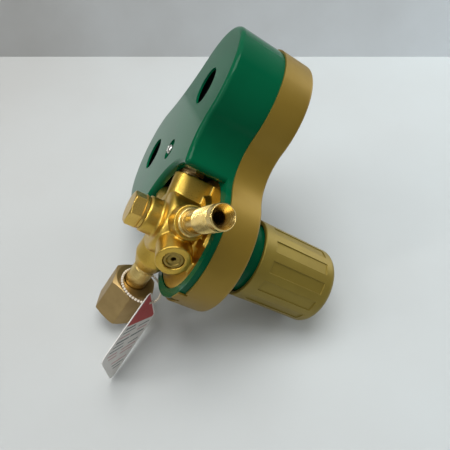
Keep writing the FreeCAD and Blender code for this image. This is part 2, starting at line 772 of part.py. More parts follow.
def make_body():
    """The forged brass body with its flange, rear boss and six ports."""
    outlet, relief = size("outlet_angle"), size("relief_angle")
    inlet = size("inlet_angle")
    ports = FreeCAD.Vector(0, size("port_depth"), 0)
    stems = FreeCAD.Vector(0, size("stem_depth"), 0)
    web_turn = FreeCAD.Rotation(Y, 90 - LEFT_PORT)
    web_corner = web_turn.multVec(FreeCAD.Vector(-size("port_boss"), 0, 0))
    web = block(
        "body_web",
        "2 * port_boss",
        "stem_depth - flange_back + 1",
        "port_face",
        web_corner + Y * size("flange_back - 1"),
        web_turn,
    )
    left_boss = cylinder("body_left_boss", "port_boss", "0", "port_face", ray(LEFT_PORT), stems)
    scoop = cylinder(
        "body_scoop", "scoop_radius", "scoop_floor", "scoop_floor + 40", ray(outlet), ports
    )
    doc.recompute()
    left_side = cut("body_left_side", fused("body_left_mass", [web, left_boss]), [scoop])
    core = turned(
        "body_core",
        (
            ("0", "flange_front"),
            ("flange_radius", "flange_front"),
            ("flange_radius", "flange_back"),
            ("step_radius", "flange_back"),
            ("step_radius - step_rise / 2", "flange_back + step_rise"),
            ("core_radius", "flange_back + step_rise"),
            ("core_radius", "core_back"),
            ("boss_radius", "core_back"),
            ("boss_radius", "boss_back"),
            ("0", "boss_back"),
        ),
    )
    softened(core, "Fillet", (("core_radius", "core_back"),), "core_round")
    softened(core, "Fillet", (("boss_radius", "core_back"),), "core_round / 4")
    softened(core, "Chamfer", (("boss_radius", "boss_back"),), "boss_chamfer")
    core.Placement = FreeCAD.Placement(FreeCAD.Vector(), facing(Y))
    pad_turn = FreeCAD.Rotation(Y, -outlet)
    pad_box = block(
        "body_pad_box",
        "flange_radius + 1",
        "step_rise + 1",
        "2 * outlet_boss",
        pad_turn.multVec(FreeCAD.Vector(0, 0, -size("outlet_boss"))) + Y * size("flange_back - 1"),
        pad_turn,
    )
    pad_limit = cylinder(
        "body_pad_limit", "flange_radius - 1", "flange_back - 1", "port_depth - outlet_collar - slide_gap"
    )
    doc.recompute()
    pad = common("body_pad", pad_box, pad_limit)
    masses = [
        left_side,
        core,
        pad,
        cylinder("body_right_boss", "port_boss", "0", "port_face", ray(RIGHT_PORT), stems),
        cylinder("body_outlet_boss", "outlet_boss", "0", "outlet_face", ray(outlet), ports),
        cylinder("body_relief_boss", "relief_boss", "0", "relief_face", ray(relief), ports),
        cylinder("body_inlet_boss", "inlet_boss", "0", "inlet_cone", ray(inlet), ports),
        cone(
            "body_inlet_taper",
            "inlet_boss",
            "inlet_neck",
            "inlet_cone",
            "inlet_face",
            ray(inlet),
            ports,
        ),
    ]
    whole = fused("body_whole", masses)
    chamber_back = "flange_front + chamber_deep"
    tools = [
        cylinder("body_chamber", "chamber_radius", "flange_front - 1", chamber_back),
        cylinder("body_stem_hole", "seat_hole", "flange_front", "seat_front + 1"),
        cylinder("body_valve_bore", "valve_bore", "seat_front", "boss_back + 1"),
    ]
    for name, angle, base, floor, face, radius in (
        ("left_port", LEFT_PORT, stems, "port_floor", "port_face", "port_thread"),
        ("right_port", RIGHT_PORT, stems, "port_floor", "port_face", "port_thread"),
        ("outlet_port", outlet, ports, "outlet_face - outlet_screwed", "outlet_face", "nipple_thread"),
        ("relief_port", relief, ports, "relief_floor", "relief_face", "relief_bore"),
        ("inlet_port", inlet, ports, "inlet_face - outlet_screwed", "inlet_face", "nipple_thread"),
    ):
        tools.append(
            cylinder(f"body_{name}", radius, floor, f"{face} + 1", ray(angle), base)
        )
    for name, angle, base, start, end in (
        ("right_feed", RIGHT_PORT, stems, "valve_bore - 2", "port_floor + 1"),
        ("inlet_feed", inlet, ports, "valve_bore - 2", "inlet_face - outlet_screwed + 1"),
        ("left_feed", LEFT_PORT, stems, "core_radius - 4", "port_floor + 1"),
        ("outlet_feed", outlet, ports, "relief_floor - passage * 1.7", "outlet_face - outlet_screwed + 1"),
        ("relief_feed", relief, ports, "relief_floor - passage * 1.7", "relief_floor + 1"),
    ):
        tools.append(cylinder(f"body_{name}", "passage", start, end, ray(angle), base))
    for name, angle, distance, end in (
        ("left_riser", LEFT_PORT, "core_radius - 3", "stem_depth"),
        ("outlet_riser", outlet, "relief_floor - passage * 1.3", "port_depth"),
        ("relief_riser", relief, "relief_floor - passage * 1.3", "port_depth"),
    ):
        tools.append(
            cylinder(f"body_{name}", "passage", "flange_front", end, Y, along(angle, size(distance), 0))
        )
    for number in range(int(size("clamp_count"))):
        angle = 360.0 / size("clamp_count") * (number + 0.5)
        tools.append(
            cylinder(
                f"body_clamp_{number}",
                "clamp_screw + fit_gap",
                "flange_front - 1",
                "bonnet_front + clamp_deep + clamp_long + 1",
                Y,
                along(angle, size("clamp_circle"), 0),
            )
        )
    doc.recompute()
    finished(cut("body", whole, tools), "body")


def make_bonnet():
    """The green bonnet that holds the range spring and carries the spindle's thread."""
    seat = "flange_front - diaphragm_thick"
    bonnet = turned(
        "bonnet",
        (
            ("flange_radius", seat),
            ("flange_radius", "bonnet_front"),
            ("bonnet_neck", "bonnet_front"),
            ("bonnet_neck", "bonnet_nose + 4"),
            ("bonnet_neck - 3", "bonnet_nose"),
            ("spindle_radius + fit_gap", "bonnet_nose"),
            ("spindle_radius + fit_gap", "bonnet_nose + bonnet_wall"),
            ("bonnet_bore", "bonnet_nose + bonnet_wall"),
            ("bonnet_bore", "bonnet_front"),
            ("chamber_radius - 3", f"{seat} - 3"),
            ("chamber_radius", f"{seat} - 1"),
            ("chamber_radius", seat),
        ),
    )
    for name, radius, start, length in (
        ("bonnet_clamp_hole", "clamp_screw + fit_gap", "flange_front", "flange_front + 10"),
        ("bonnet_clamp_sink", "clamp_head + fit_gap", "bonnet_front + clamp_deep", "clamp_deep + 2"),
    ):
        sketch = new_sketch(bonnet, name, "XY_Plane", start)
        middle = "180 / clamp_count"
        circle(sketch, f"clamp_circle * cos({middle})", f"clamp_circle * sin({middle})", radius)
        hole = padded(bonnet, sketch, length, "PartDesign::Pocket")
        patterned(bonnet, hole, "clamp_count")
    finished(bonnet, "bonnet", FreeCAD.Vector(), facing(Y))


def make_flange_screws():
    """The socket screws that clamp the bonnet and the diaphragm to the body."""
    screws = []
    for number in range(int(size("clamp_count"))):
        angle = 360.0 / size("clamp_count") * (number + 0.5)
        base = along(angle, size("clamp_circle"), 0)
        shank_end = "bonnet_front + clamp_deep + clamp_long"
        shank = cylinder(f"clamp_shank_{number}", "clamp_screw", "bonnet_front + 1", shank_end, Y, base)
        head = cylinder(
            f"clamp_head_{number}", "clamp_head", "bonnet_front", "bonnet_front + clamp_deep", Y, base
        )
        socket = prism(
            f"clamp_socket_{number}",
            "clamp_head",
            "clamp_deep / 2",
            Y,
            base + Y * size("bonnet_front"),
        )
        doc.recompute()
        screws.append(cut(f"clamp_{number}", fused(f"clamp_mass_{number}", [shank, head]), [socket]))
    group = doc.addObject("Part::Compound", "flange_screws")
    group.Links = screws
    doc.recompute()
    finished(group, "flange_screws")


def make_diaphragm():
    """The diaphragm, clamped at its rim, and the plate that the range spring presses on."""
    back, front = "flange_front", "flange_front - diaphragm_thick"
    rim = turned(
        "diaphragm",
        (
            ("0", front),
            ("clamp_circle - clamp_screw - slide_gap", front),
            ("clamp_circle - clamp_screw - slide_gap", back),
            ("0", back),
        ),
    )
    finished(rim, "diaphragm", FreeCAD.Vector(), facing(Y))
    plate_front = f"{front} - plate_thick"
    plate = turned(
        "diaphragm_plate",
        (
            ("0", plate_front),
            ("spring_mean - spring_wire - 0.5", plate_front),
            ("spring_mean - spring_wire - 0.5", f"{plate_front} + 1"),
            ("plate_radius", f"{plate_front} + 1"),
            ("plate_radius", front),
            ("0", front),
        ),
    )
    finished(plate, "diaphragm_plate", FreeCAD.Vector(), facing(Y))


def make_coil(name, mean, wire, start, end, turns, base, rotation):
    """A round-wire compression spring between two places on its own axis."""
    body = new_body(name)
    sketch = new_sketch(body, name + "_wire", "XZ_Plane")
    circle(sketch, mean, f"({start}) + ({wire})", wire)
    helix = body.newObject("PartDesign::AdditiveHelix", name + "_helix")
    helix.Profile = sketch
    helix.ReferenceAxis = (sketch, ["V_Axis"])
    helix.Mode = 0
    span = f"({end}) - ({start}) - 2 * ({wire})"
    helix.Height = size(span)
    helix.Pitch = size(f"({span}) / ({turns})")
    bind(helix, "Height", span)
    bind(helix, "Pitch", f"({span}) / ({turns})")
    doc.recompute()
    finished(body, name, base, rotation)


def make_adjuster():
    """The knob with its spindle and disc, the thrust ball, spring button and range spring."""
    knob = turned(
        "knob",
        (
            ("knob_bore", "knob_base"),
            ("knob_radius", "knob_base"),
            ("knob_radius - 0.1", "knob_base - 2"),
            ("knob_end_radius", "knob_end"),
            ("cap_radius + fit_gap", "knob_end"),
            ("cap_radius + fit_gap", "knob_end + cap_thick"),
            ("spindle_radius + fit_gap", "knob_end + cap_thick"),
            ("spindle_radius + fit_gap", "knob_end + knob_wall + hub_long"),
            ("hub_radius", "knob_end + knob_wall + hub_long"),
            ("hub_radius", "knob_end + knob_wall"),
            ("knob_bore", "knob_end + knob_wall"),
        ),
    )
    softened(knob, "Fillet", (("knob_end_radius", "knob_end"),), "knob_round")
    softened(knob, "Fillet", (("knob_radius", "knob_base"),), "knob_lip_round")
    flute = new_sketch(knob, "knob_flute", "XY_Plane", "knob_base - flute_start")
    polygon(
        flute,
        (
            ("knob_radius - flute_deep", "-flute_width / 2"),
            ("knob_radius + 3", "-flute_width / 2"),
            ("knob_radius + 3", "flute_width / 2"),
            ("knob_radius - flute_deep", "flute_width / 2"),
        ),
    )
    span = "knob_base - flute_start - knob_end - flute_end"
    patterned(knob, padded(knob, flute, span, "PartDesign::Pocket"), "flute_count")
    finished(knob, "knob", FreeCAD.Vector(), facing(Y))

    cap = turned(
        "knob_cap",
        (
            ("0", "knob_end"),
            ("cap_radius", "knob_end"),
            ("cap_radius", "knob_end + cap_thick"),
            ("0", "knob_end + cap_thick"),
        ),
    )
    softened(cap, "Chamfer", (("cap_radius", "knob_end"),), "cap_thick / 4")
    finished(cap, "knob_cap", FreeCAD.Vector(), facing(Y))

    spindle = turned(
        "spindle",
        (
            ("0", "knob_end + cap_thick"),
            ("spindle_radius", "knob_end + cap_thick"),
            ("spindle_radius", "spindle_tip - 3"),
            ("spindle_radius - 3", "spindle_tip"),
            ("0", "spindle_tip"),
        ),
    )
    finished(spindle, "spindle", FreeCAD.Vector(), facing(Y))

    ball = doc.addObject("Part::Sphere", "thrust_ball")
    ball.Radius = size("ball_radius")
    bind(ball, "Radius", "ball_radius")
    doc.recompute()
    finished(ball, "thrust_ball", Y * size("spindle_tip + ball_radius"))

    button_front = "spindle_tip + ball_radius * 1.5"
    button = turned(
        "spring_button",
        (
            ("ball_radius + fit_gap", button_front),
            ("spring_mean", button_front),
            ("button_radius", f"{button_front} + 1.5"),
            ("button_radius", f"{button_front} + button_thick"),
            ("spring_mean - spring_wire - 0.5", f"{button_front} + button_thick"),
            ("spring_mean - spring_wire - 0.5", f"{button_front} + button_thick + 1.5"),
            ("0", f"{button_front} + button_thick + 1.5"),
            ("0", "spindle_tip + 2 * ball_radius"),
            ("ball_radius + fit_gap", "spindle_tip + 2 * ball_radius"),
        ),
    )
    finished(button, "spring_button", FreeCAD.Vector(), facing(Y))
    make_coil(
        "range_spring",
        "spring_mean",
        "spring_wire",
        f"{button_front} + button_thick + 0.05",
        "flange_front - diaphragm_thick - plate_thick + 1 - 0.05",
        "spring_turns",
        FreeCAD.Vector(),
        facing(Y),
    )


def make_valve():
    """The seat, poppet, return spring, sealing ring and hexagon plug in the rear boss."""
    seat = turned(
        "valve_seat",
        (
            ("seat_hole", "seat_front"),
            ("valve_bore - fit_gap", "seat_front"),
            ("valve_bore - fit_gap", "seat_front + seat_thick"),
            ("seat_hole + 1.6", "seat_front + seat_thick"),
            ("seat_hole + 0.6", "seat_front + seat_thick + 0.8"),
            ("seat_hole", "seat_front + seat_thick + 0.8"),
        ),
    )
    finished(seat, "valve_seat", FreeCAD.Vector(), facing(Y))
    head_front = "seat_front + seat_thick + 0.85"
    head_back = f"{head_front} + poppet_thick"
    tail_end = "boss_back + 1.5"
    poppet = turned(
        "valve_poppet",
        (
            ("0", "flange_front + 0.05"),
            ("stem_radius", "flange_front + 0.05"),
            ("stem_radius", head_front),
            ("poppet_radius", head_front),
            ("poppet_radius", head_back),
            ("poppet_tail", head_back),
            ("poppet_tail", tail_end),
            ("0", tail_end),
        ),
    )
    finished(poppet, "valve_poppet", FreeCAD.Vector(), facing(Y))
    plug_face = "boss_back + gasket_thick"
    plug_well = "boss_back - 1"
    thread = turned(
        "plug_thread",
        (
            ("0", "boss_back + 3"),
            ("poppet_tail + fit_gap", "boss_back + 3"),
            ("poppet_tail + fit_gap", plug_well),
            ("poppet_radius + 0.6", plug_well),
            ("poppet_radius + 0.6", "boss_back - plug_skirt"),
            ("valve_bore - fit_gap", "boss_back - plug_skirt"),
            ("valve_bore - fit_gap", plug_face),
            ("boss_radius - 1", plug_face),
            ("boss_radius - 1", f"{plug_face} + 1.2"),
            ("0", f"{plug_face} + 1.2"),
        ),
    )
    thread.Placement = FreeCAD.Placement(FreeCAD.Vector(), facing(Y))
    hexagon = prism("plug_hexagon", "plug_hex", "plug_rise", Y, Y * size(plug_face))
    well = cylinder("plug_well", "poppet_tail + fit_gap", plug_face, "boss_back + 3")
    trim = cone(
        "plug_trim",
        "plug_hex / 2 / cos(30) + plug_rise * 1.6",
        "plug_hex / 2",
        f"{plug_face} - plug_rise * 0.2",
        f"{plug_face} + plug_rise",
    )
    doc.recompute()
    crowned = common("plug_crowned", hexagon, trim)
    finished(cut("rear_plug", fused("plug_mass", [thread, crowned]), [well]), "rear_plug")
    gasket = turned(
        "plug_gasket",
        (
            ("valve_bore", "boss_back"),
            ("boss_radius - 1", "boss_back"),
            ("boss_radius - 1", plug_face),
            ("valve_bore", plug_face),
        ),
    )
    finished(gasket, "plug_gasket", FreeCAD.Vector(), facing(Y))
    make_coil(
        "poppet_spring",
        "poppet_tail + 1.5",
        "0.45",
        f"{head_back} + 0.05",
        f"{plug_well} - 0.05",
        "7",
        FreeCAD.Vector(),
        facing(Y),
    )


def make_inlet():
    """The inlet nipple with its filter and washer, and the hexagon nut that turns on it."""
    base = Y * size("port_depth")
    way = facing(ray(size("inlet_angle")))
    screwed = "inlet_face - outlet_screwed"
    shoulder_start = "nipple_seat - shoulder_long / 2"
    shoulder_end = "nipple_seat + shoulder_long / 2"
    filter_start = f"{shoulder_end} - filter_long"
    nipple = turned(
        "inlet_nipple",
        (
            ("nipple_bore", f"{screwed} + 0.3"),
            ("nipple_thread - fit_gap", f"{screwed} + 0.3"),
            ("nipple_thread - fit_gap", "inlet_face"),
            ("nipple_radius", "inlet_face"),
            ("nipple_radius", shoulder_start),
            ("shoulder_radius", shoulder_start),
            ("shoulder_radius", shoulder_end),
            ("filter_radius", shoulder_end),
            ("filter_radius", filter_start),
            ("nipple_bore", filter_start),
        ),
    )
    finished(nipple, "inlet_nipple", base, way)
    strainer = turned(
        "inlet_filter",
        (
            ("0", filter_start),
            ("filter_radius - fit_gap", filter_start),
            ("filter_radius - fit_gap", f"{shoulder_end} - 1"),
            ("filter_radius - 1.4", f"{shoulder_end} - 1"),
            ("filter_radius - 1.4", f"{filter_start} + 2"),
            ("0", f"{filter_start} + 2"),
        ),
    )
    finished(strainer, "inlet_filter", base, way)
    washer = turned(
        "inlet_washer",
        (
            ("filter_radius + 0.8", shoulder_end),
            ("washer_radius", shoulder_end),
            ("washer_radius", f"{shoulder_end} + washer_thick"),
            ("filter_radius + 0.8", f"{shoulder_end} + washer_thick"),
        ),
    )
    finished(washer, "inlet_washer", base, way)
    hexagon = prism(
        "nut_hexagon", "nut_flats", "nut_end - nut_start", Z, Z * size("nut_start"), size("nut_turn")
    )
    limit = turned(
        "nut_limit",
        (
            ("0", "nut_start"),
            ("nut_chamfer - 2.4", "nut_start"),
            ("nut_chamfer + 2", "nut_start + 2.4"),
            ("nut_chamfer + 2", "nut_end - 1.6"),
            ("nut_chamfer - 1.2", "nut_end"),
            ("0", "nut_end"),
        ),
    )
    solid = common("nut_solid", hexagon, limit)
    bore = turned(
        "nut_bore",
        (
            ("0", "nut_start - 1"),
            ("nipple_radius + slide_gap", "nut_start - 1"),
            ("nipple_radius + slide_gap", "nut_start + nut_wall"),
            ("nut_relief", "nut_start + nut_wall"),
            ("nut_relief", "nut_relief_end"),
            ("nut_thread", "nut_relief_end"),
            ("nut_thread", "nut_end - 1.4"),
            ("nut_thread + 1.6", "nut_end + 0.2"),
            ("0", "nut_end + 0.2"),
        ),
    )
    finished(cut("inlet_nut", solid, [bore]), "inlet_nut", base, way)


def make_outlet():
    """The threaded outlet fitting with the cone that a hose nipple seats in."""
    collar_end = "outlet_face + outlet_collar_long"
    fitting = turned(
        "outlet_fitting",
        (
            ("outlet_bore", "outlet_face - outlet_screwed + 0.3"),
            ("nipple_thread - fit_gap", "outlet_face - outlet_screwed + 0.3"),
            ("nipple_thread - fit_gap", "outlet_face"),
            ("outlet_collar", "outlet_face"),
            ("outlet_collar", f"{collar_end} - 0.8"),
            ("outlet_collar - 0.8", collar_end),
            ("outlet_thread - 0.8", collar_end),
            ("outlet_thread - 0.8", f"{collar_end} + 2"),
            ("outlet_thread", f"{collar_end} + 3"),
            ("outlet_thread", "outlet_end - 0.7"),
            ("outlet_thread - 0.5", "outlet_end"),
            ("outlet_mouth", "outlet_end"),
            ("outlet_bore", "outlet_end - outlet_cone"),
        ),
    )
    finished(fitting, "outlet_fitting", Y * size("port_depth"), facing(ray(size("outlet_angle"))))


def make_relief():
    """The relief poppet, its spring and the vented cap that holds them."""
    base = Y * size("port_depth")
    way = facing(ray(size("relief_angle")))
    cap_top = "relief_face - relief_sunk"
    cap = turned(
        "relief_cap",
        (
            ("relief_vent", f"{cap_top} - relief_cap_thick"),
            ("relief_bore - fit_gap", f"{cap_top} - relief_cap_thick"),
            ("relief_bore - fit_gap", f"{cap_top} - 0.5"),
            ("relief_bore - fit_gap - 0.5", cap_top),
            ("relief_disc + 0.6", cap_top),
            ("relief_disc", f"{cap_top} - 0.8"),
            ("relief_vent + 0.4", f"{cap_top} - 0.8"),
            ("relief_vent", f"{cap_top} - 1.2"),
        ),
    )
    finished(cap, "relief_cap", base, way)
    head = turned(
        "relief_poppet",
        (
            ("0", "relief_floor + 0.05"),
            ("relief_poppet_radius", "relief_floor + 0.05"),
            ("relief_poppet_radius", "relief_floor + relief_poppet_long"),
            ("relief_vent", "relief_floor + relief_poppet_long"),
            ("relief_vent", "relief_floor + relief_poppet_long + 1.5"),
            ("0", "relief_floor + relief_poppet_long + 1.5"),
        ),
    )
    finished(head, "relief_poppet", base, way)
    make_coil(
        "relief_spring",
        "relief_vent + 1.4",
        "0.4",
        "relief_floor + relief_poppet_long + 0.05",
        f"{cap_top} - relief_cap_thick - 0.05",
        "4",
        base,
        way,
    )


def make_gauge(name, sign, port):
    """One gauge: case, lens, bezel, dial, pointer, movement, bourdon tube and socket."""
    centre = FreeCAD.Vector(sign * size("lobe_side"), 0, size("lobe_up"))
    inside = "case_radius - case_wall"
    shell = turned(
        name + "_shell",
        (
            ("case_radius", "case_front"),
            ("case_radius", "case_back - 3"),
            ("case_radius - 3", "case_back"),
            ("0", "case_back"),
            ("0", "case_back - case_wall"),
            (f"{inside} - 2.6", "case_back - case_wall"),
            (inside, "case_back - case_wall - 2.6"),
            (inside, "case_front"),
        ),
    )
    hole = cylinder(
        name + "_hole",
        "socket_radius + fit_gap",
        "case_radius - case_wall - 3",
        "case_radius + 2",
        FreeCAD.Rotation(X, 90).multVec(ray(port) * -1.0),
        Z * size("stem_depth"),
    )
    doc.recompute()
    finished(cut(name + "_case", shell, [hole]), name + "_case", centre, facing(Y))

    lens_front = "case_front + 0.4"
    lens = turned(
        name + "_lens",
        (
            ("0", f"{lens_front} - 0.3"),
            (f"{inside} - 4", lens_front),
            (f"{inside} - fit_gap", lens_front),
            (f"{inside} - fit_gap", f"{lens_front} + lens_thick"),
            ("0", f"{lens_front} + lens_thick"),
        ),
    )
    finished(lens, name + "_lens", centre, facing(Y))

    bezel = turned(
        name + "_bezel",
        (
            ("bezel_radius - bezel_wall + 1.2", "front_face - bezel_rise"),
            ("bezel_lip - 0.8", "front_face - bezel_rise"),
            ("bezel_lip", "front_face - bezel_rise + 0.8"),
            ("bezel_lip", "front_face"),
            ("bezel_radius", "front_face"),
            ("bezel_radius", "case_front - 0.1"),
            ("bezel_radius - bezel_wall", "case_front - 0.1"),
            ("bezel_radius - bezel_wall", "front_face + 1"),
        ),
    )
    finished(bezel, name + "_bezel", centre, facing(Y))

    dial = turned(
        name + "_dial",
        (
            ("arbor_radius + 0.6", "dial_depth"),
            (f"{inside} - 0.1", "dial_depth"),
            (f"{inside} - 0.1", "dial_depth + dial_thick"),
            ("arbor_radius + 0.6", "dial_depth + dial_thick"),
        ),
    )
    finished(dial, name + "_dial", centre, facing(Y))

    movement_front = "dial_depth + 9"
    plate = turned(
        name + "_plate",
        (
            ("arbor_radius + fit_gap", movement_front),
            ("movement_radius", movement_front),
            ("movement_radius", f"{movement_front} + 3"),
            ("arbor_radius + fit_gap", f"{movement_front} + 3"),
        ),
    )
    legs = [
        cylinder(
            f"{name}_leg_{number}",
            "movement_leg",
            f"{movement_front} + 1",
            "case_back - case_wall",
            Z,
            FreeCAD.Rotation(Z, turn).multVec(FreeCAD.Vector(size("movement_radius * 0.72"), 0, 0)),
        )
        for number, turn in enumerate((0, 120, 240))
    ]
    posts = [
        cylinder(
            f"{name}_dial_post_{number}",
            "movement_leg * 0.85",
            "dial_depth + dial_thick",
            f"{movement_front} + 1",
            Z,
            FreeCAD.Rotation(Z, turn).multVec(FreeCAD.Vector(size("movement_radius * 0.8"), 0, 0)),
        )
        for number, turn in enumerate((60, 240))
    ]
    doc.recompute()
    finished(fused(name + "_movement", [plate] + legs + posts), name + "_movement", centre, facing(Y))

    arbor = cylinder(name + "_arbor", "arbor_radius", "dial_depth - 2", f"{movement_front} + 4", Z)
    hub = cylinder(name + "_hub", "pointer_hub", "dial_depth - 2", "dial_depth - 0.8", Z)
    blade_body = new_body(name + "_blade")
    blade_sketch = new_sketch(blade_body, name + "_blade_outline", "XY_Plane", "dial_depth - 1.7")
    polygon(
        blade_sketch,
        (
            ("-pointer_tail", "-1.9"),
            ("pointer_long * 0.7", "-0.9"),
            ("pointer_long", "0"),
            ("pointer_long * 0.7", "0.9"),
            ("-pointer_tail", "1.9"),
        ),
    )
    padded(blade_body, blade_sketch, "0.6")
    pointer = fused(name + "_pointer", [arbor, hub, blade_body])
    turn_zero = FreeCAD.Rotation(Y, -size("pointer_zero")) * FreeCAD.Rotation(X, -90)
    finished(pointer, name + "_pointer", centre, turn_zero)

    base = Y * size("stem_depth")
    way = facing(ray(port))
    inner_end = f"{GAUGE_REACH} - case_radius + case_wall"
    stem = turned(
        name + "_stem",
        (
            ("1", "port_floor + 2"),
            ("port_thread - fit_gap", "port_floor + 2"),
            ("port_thread - fit_gap", "port_face"),
            ("socket_radius", "port_face"),
            ("socket_radius", f"{inner_end} + 1.5"),
            ("1", f"{inner_end} + 1.5"),
        ),
    )
    flats = prism(
        name + "_flats", "socket_hex", "8", Z, Z * size("port_face + 2")
    )
    tip = block(
        name + "_block",
        "socket_block",
        "socket_deep",
        "socket_block",
        FreeCAD.Vector(-size("socket_block / 2"), -size("socket_deep / 2"), size(inner_end) + 0.6),
    )
    bore = cylinder(name + "_bore", "1", "port_floor", f"{inner_end} + 6", Z)
    doc.recompute()
    socket = cut(name + "_socket", fused(name + "_socket_mass", [stem, flats, tip]), [bore])
    finished(socket, name + "_socket", base, way)

    tube = doc.addObject("Part::Torus", name + "_tube")
    for attribute, expression in (
        ("Radius1", "tube_radius"),
        ("Radius2", "tube_thick"),
        ("Angle3", "tube_sweep"),
    ):
        setattr(tube, attribute, size(expression))
        bind(tube, attribute, expression)
    doc.recompute()
    down = math.degrees(math.asin(size("socket_block / 2 + 0.2") / size("tube_radius")))
    start = FreeCAD.Rotation(Z, 180 - port + down)
    finished(
        tube, name + "_tube", centre + base, FreeCAD.Rotation(X, -90) * start
    )


def make_hang_tag():
    """The card tag and the loop of chain that holds it round the inlet nipple."""
    way = facing(ray(size("inlet_angle")))
    hung = FreeCAD.Vector(size("chain_low"), -size("chain_front"), size("nut_start - chain_radius - 0.1"))
    loop = doc.addObject("Part::Torus", "tag_chain")
    for attribute, expression in (("Radius1", "chain_loop"), ("Radius2", "chain_radius")):
        setattr(loop, attribute, size(expression))
        bind(loop, attribute, expression)
    doc.recompute()
    finished(loop, "tag_chain", Y * size("port_depth") + way.multVec(hung), way)

    corner = FreeCAD.Vector(-size("tag_hole_in"), -size("tag_hole_side"), -size("tag_thick / 2"))
    card = block("tag_card", "tag_long", "tag_wide", "tag_thick", corner)
    doc.recompute()
    upright = [
        (index, size("tag_corner"), size("tag_corner"))
        for index, edge in enumerate(card.Shape.Edges, start=1)
        if abs(edge.tangentAt(edge.FirstParameter).z) > 0.99
    ]
    soft = doc.addObject("Part::Fillet", "tag_soft")
    soft.Base = card
    soft.Edges = upright
    doc.recompute()
    hole = cylinder("tag_hole_cut", "tag_hole", "-tag_thick", "tag_thick", Z)
    finished(cut("tag_pierced", soft, [hole]), "hang_tag", TAG_HOLE, TAG_TURN)


def check_document():
    """Stops if any object failed or any sub-part has no valid shape."""
    doc.recompute()
    for thing in doc.Objects:
        if "Invalid" in thing.State or "Error" in thing.State:
            raise RuntimeError(f"{thing.Label} failed: {thing.State}")
    for piece in SUB_PARTS:
        if piece.Shape.isNull() or not piece.Shape.isValid():
            raise RuntimeError(f"{piece.Label} has no valid shape")


def export():
    """Writes each sub-part to a file named after it."""
    os.makedirs("parts", exist_ok=True)
    for piece in SUB_PARTS:
        piece.Shape.exportStep(f"parts/{piece.Label}.step")


make_front_cover()
make_back_cover()
make_cover_screw()
make_body()
make_bonnet()
make_flange_screws()
make_diaphragm()
make_adjuster()
make_valve()
make_inlet()
make_outlet()
make_relief()
make_gauge("outlet_gauge", -1, LEFT_PORT)
make_gauge("inlet_gauge", 1, RIGHT_PORT)
make_hang_tag()
check_document()
export()
print(len(SUB_PARTS), "sub-parts written")
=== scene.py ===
"""Gas pressure regulator: the visible pieces, their finishes, the light and the camera.

Every length is in millimetres on the knob axis: X to the right seen from the front, Y to
the back, Z up to the gauges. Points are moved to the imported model's frame, in metres, at
the moment a mesh is made.
"""

import logging
import math
from dataclasses import dataclass, replace
from enum import Enum
from typing import Any, Callable, Optional, Sequence

import bmesh
import bpy
import numpy as np
from mathutils import Matrix, Vector


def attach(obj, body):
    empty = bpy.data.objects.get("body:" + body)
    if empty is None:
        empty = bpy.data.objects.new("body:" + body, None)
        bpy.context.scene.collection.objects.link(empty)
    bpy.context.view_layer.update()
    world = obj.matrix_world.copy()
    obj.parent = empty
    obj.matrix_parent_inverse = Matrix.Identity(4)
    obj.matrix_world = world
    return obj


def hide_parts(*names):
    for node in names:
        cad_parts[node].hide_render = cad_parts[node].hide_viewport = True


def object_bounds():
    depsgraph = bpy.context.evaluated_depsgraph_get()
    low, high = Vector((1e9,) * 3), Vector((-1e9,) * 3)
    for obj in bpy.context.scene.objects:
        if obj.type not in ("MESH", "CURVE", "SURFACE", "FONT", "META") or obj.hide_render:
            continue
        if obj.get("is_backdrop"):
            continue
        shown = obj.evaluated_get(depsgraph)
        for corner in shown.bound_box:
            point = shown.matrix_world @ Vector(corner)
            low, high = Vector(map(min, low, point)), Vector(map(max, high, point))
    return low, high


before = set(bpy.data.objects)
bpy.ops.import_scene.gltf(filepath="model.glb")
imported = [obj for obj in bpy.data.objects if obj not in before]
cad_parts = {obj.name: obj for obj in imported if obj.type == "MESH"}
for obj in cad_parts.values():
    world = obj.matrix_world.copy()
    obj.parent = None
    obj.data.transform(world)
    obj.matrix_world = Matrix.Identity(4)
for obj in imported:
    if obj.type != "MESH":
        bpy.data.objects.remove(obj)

LOG = logging.getLogger("regulator")
MM = 0.001
Array = np.ndarray
Piece = bpy.types.Object
Mesh = bpy.types.Mesh
Material = bpy.types.Material
Tree = bpy.types.NodeTree
Node = bpy.types.Node
Socket = bpy.types.NodeSocket
Point = tuple[float, float, float]
Span = tuple[float, float]
Profile = Sequence[tuple[float, ...]]
Surface = tuple[Array, Array]
Shaper = Callable[[Array, Array, Array], Surface]


def heading(degrees: float, distance: float = 1.0, depth: float = 0.0) -> Array:
    """A point at a distance from the knob axis, in a direction from +X towards +Z, depth along Y."""
    turn = math.radians(degrees)
    return np.array([distance * math.cos(turn), depth, distance * math.sin(turn)])


PORT_DEPTH = 33.0
INLET, OUTLET, RELIEF = -21.0, 201.6, 246.3
LOBE_SIDE, LOBE_UP = 41.4, 78.5
SEAT = heading(INLET, 66.0, PORT_DEPTH)
BACKWARD = (0.0, 1.0, 0.0)
REGULATOR = "regulator"
BOX = np.array([[0, 1, 2, 3], [7, 6, 5, 4], [0, 4, 5, 1], [1, 5, 6, 2], [2, 6, 7, 3], [3, 7, 4, 0]])


class Slot(Enum):
    """The record's material slots that a piece can take."""

    BRASS = "brass"
    GOLD_COVER = "gold_cover"
    GOLD_KNOB = "gold_knob"
    GREEN = "green_cover"
    STEEL = "steel"
    RUBBER = "rubber"
    TRIM = "dark_trim"
    LENS = "lens"
    DIAL = "dial"
    CARD = "card"
    BEADS = "beads"
    POINTER = "pointer"


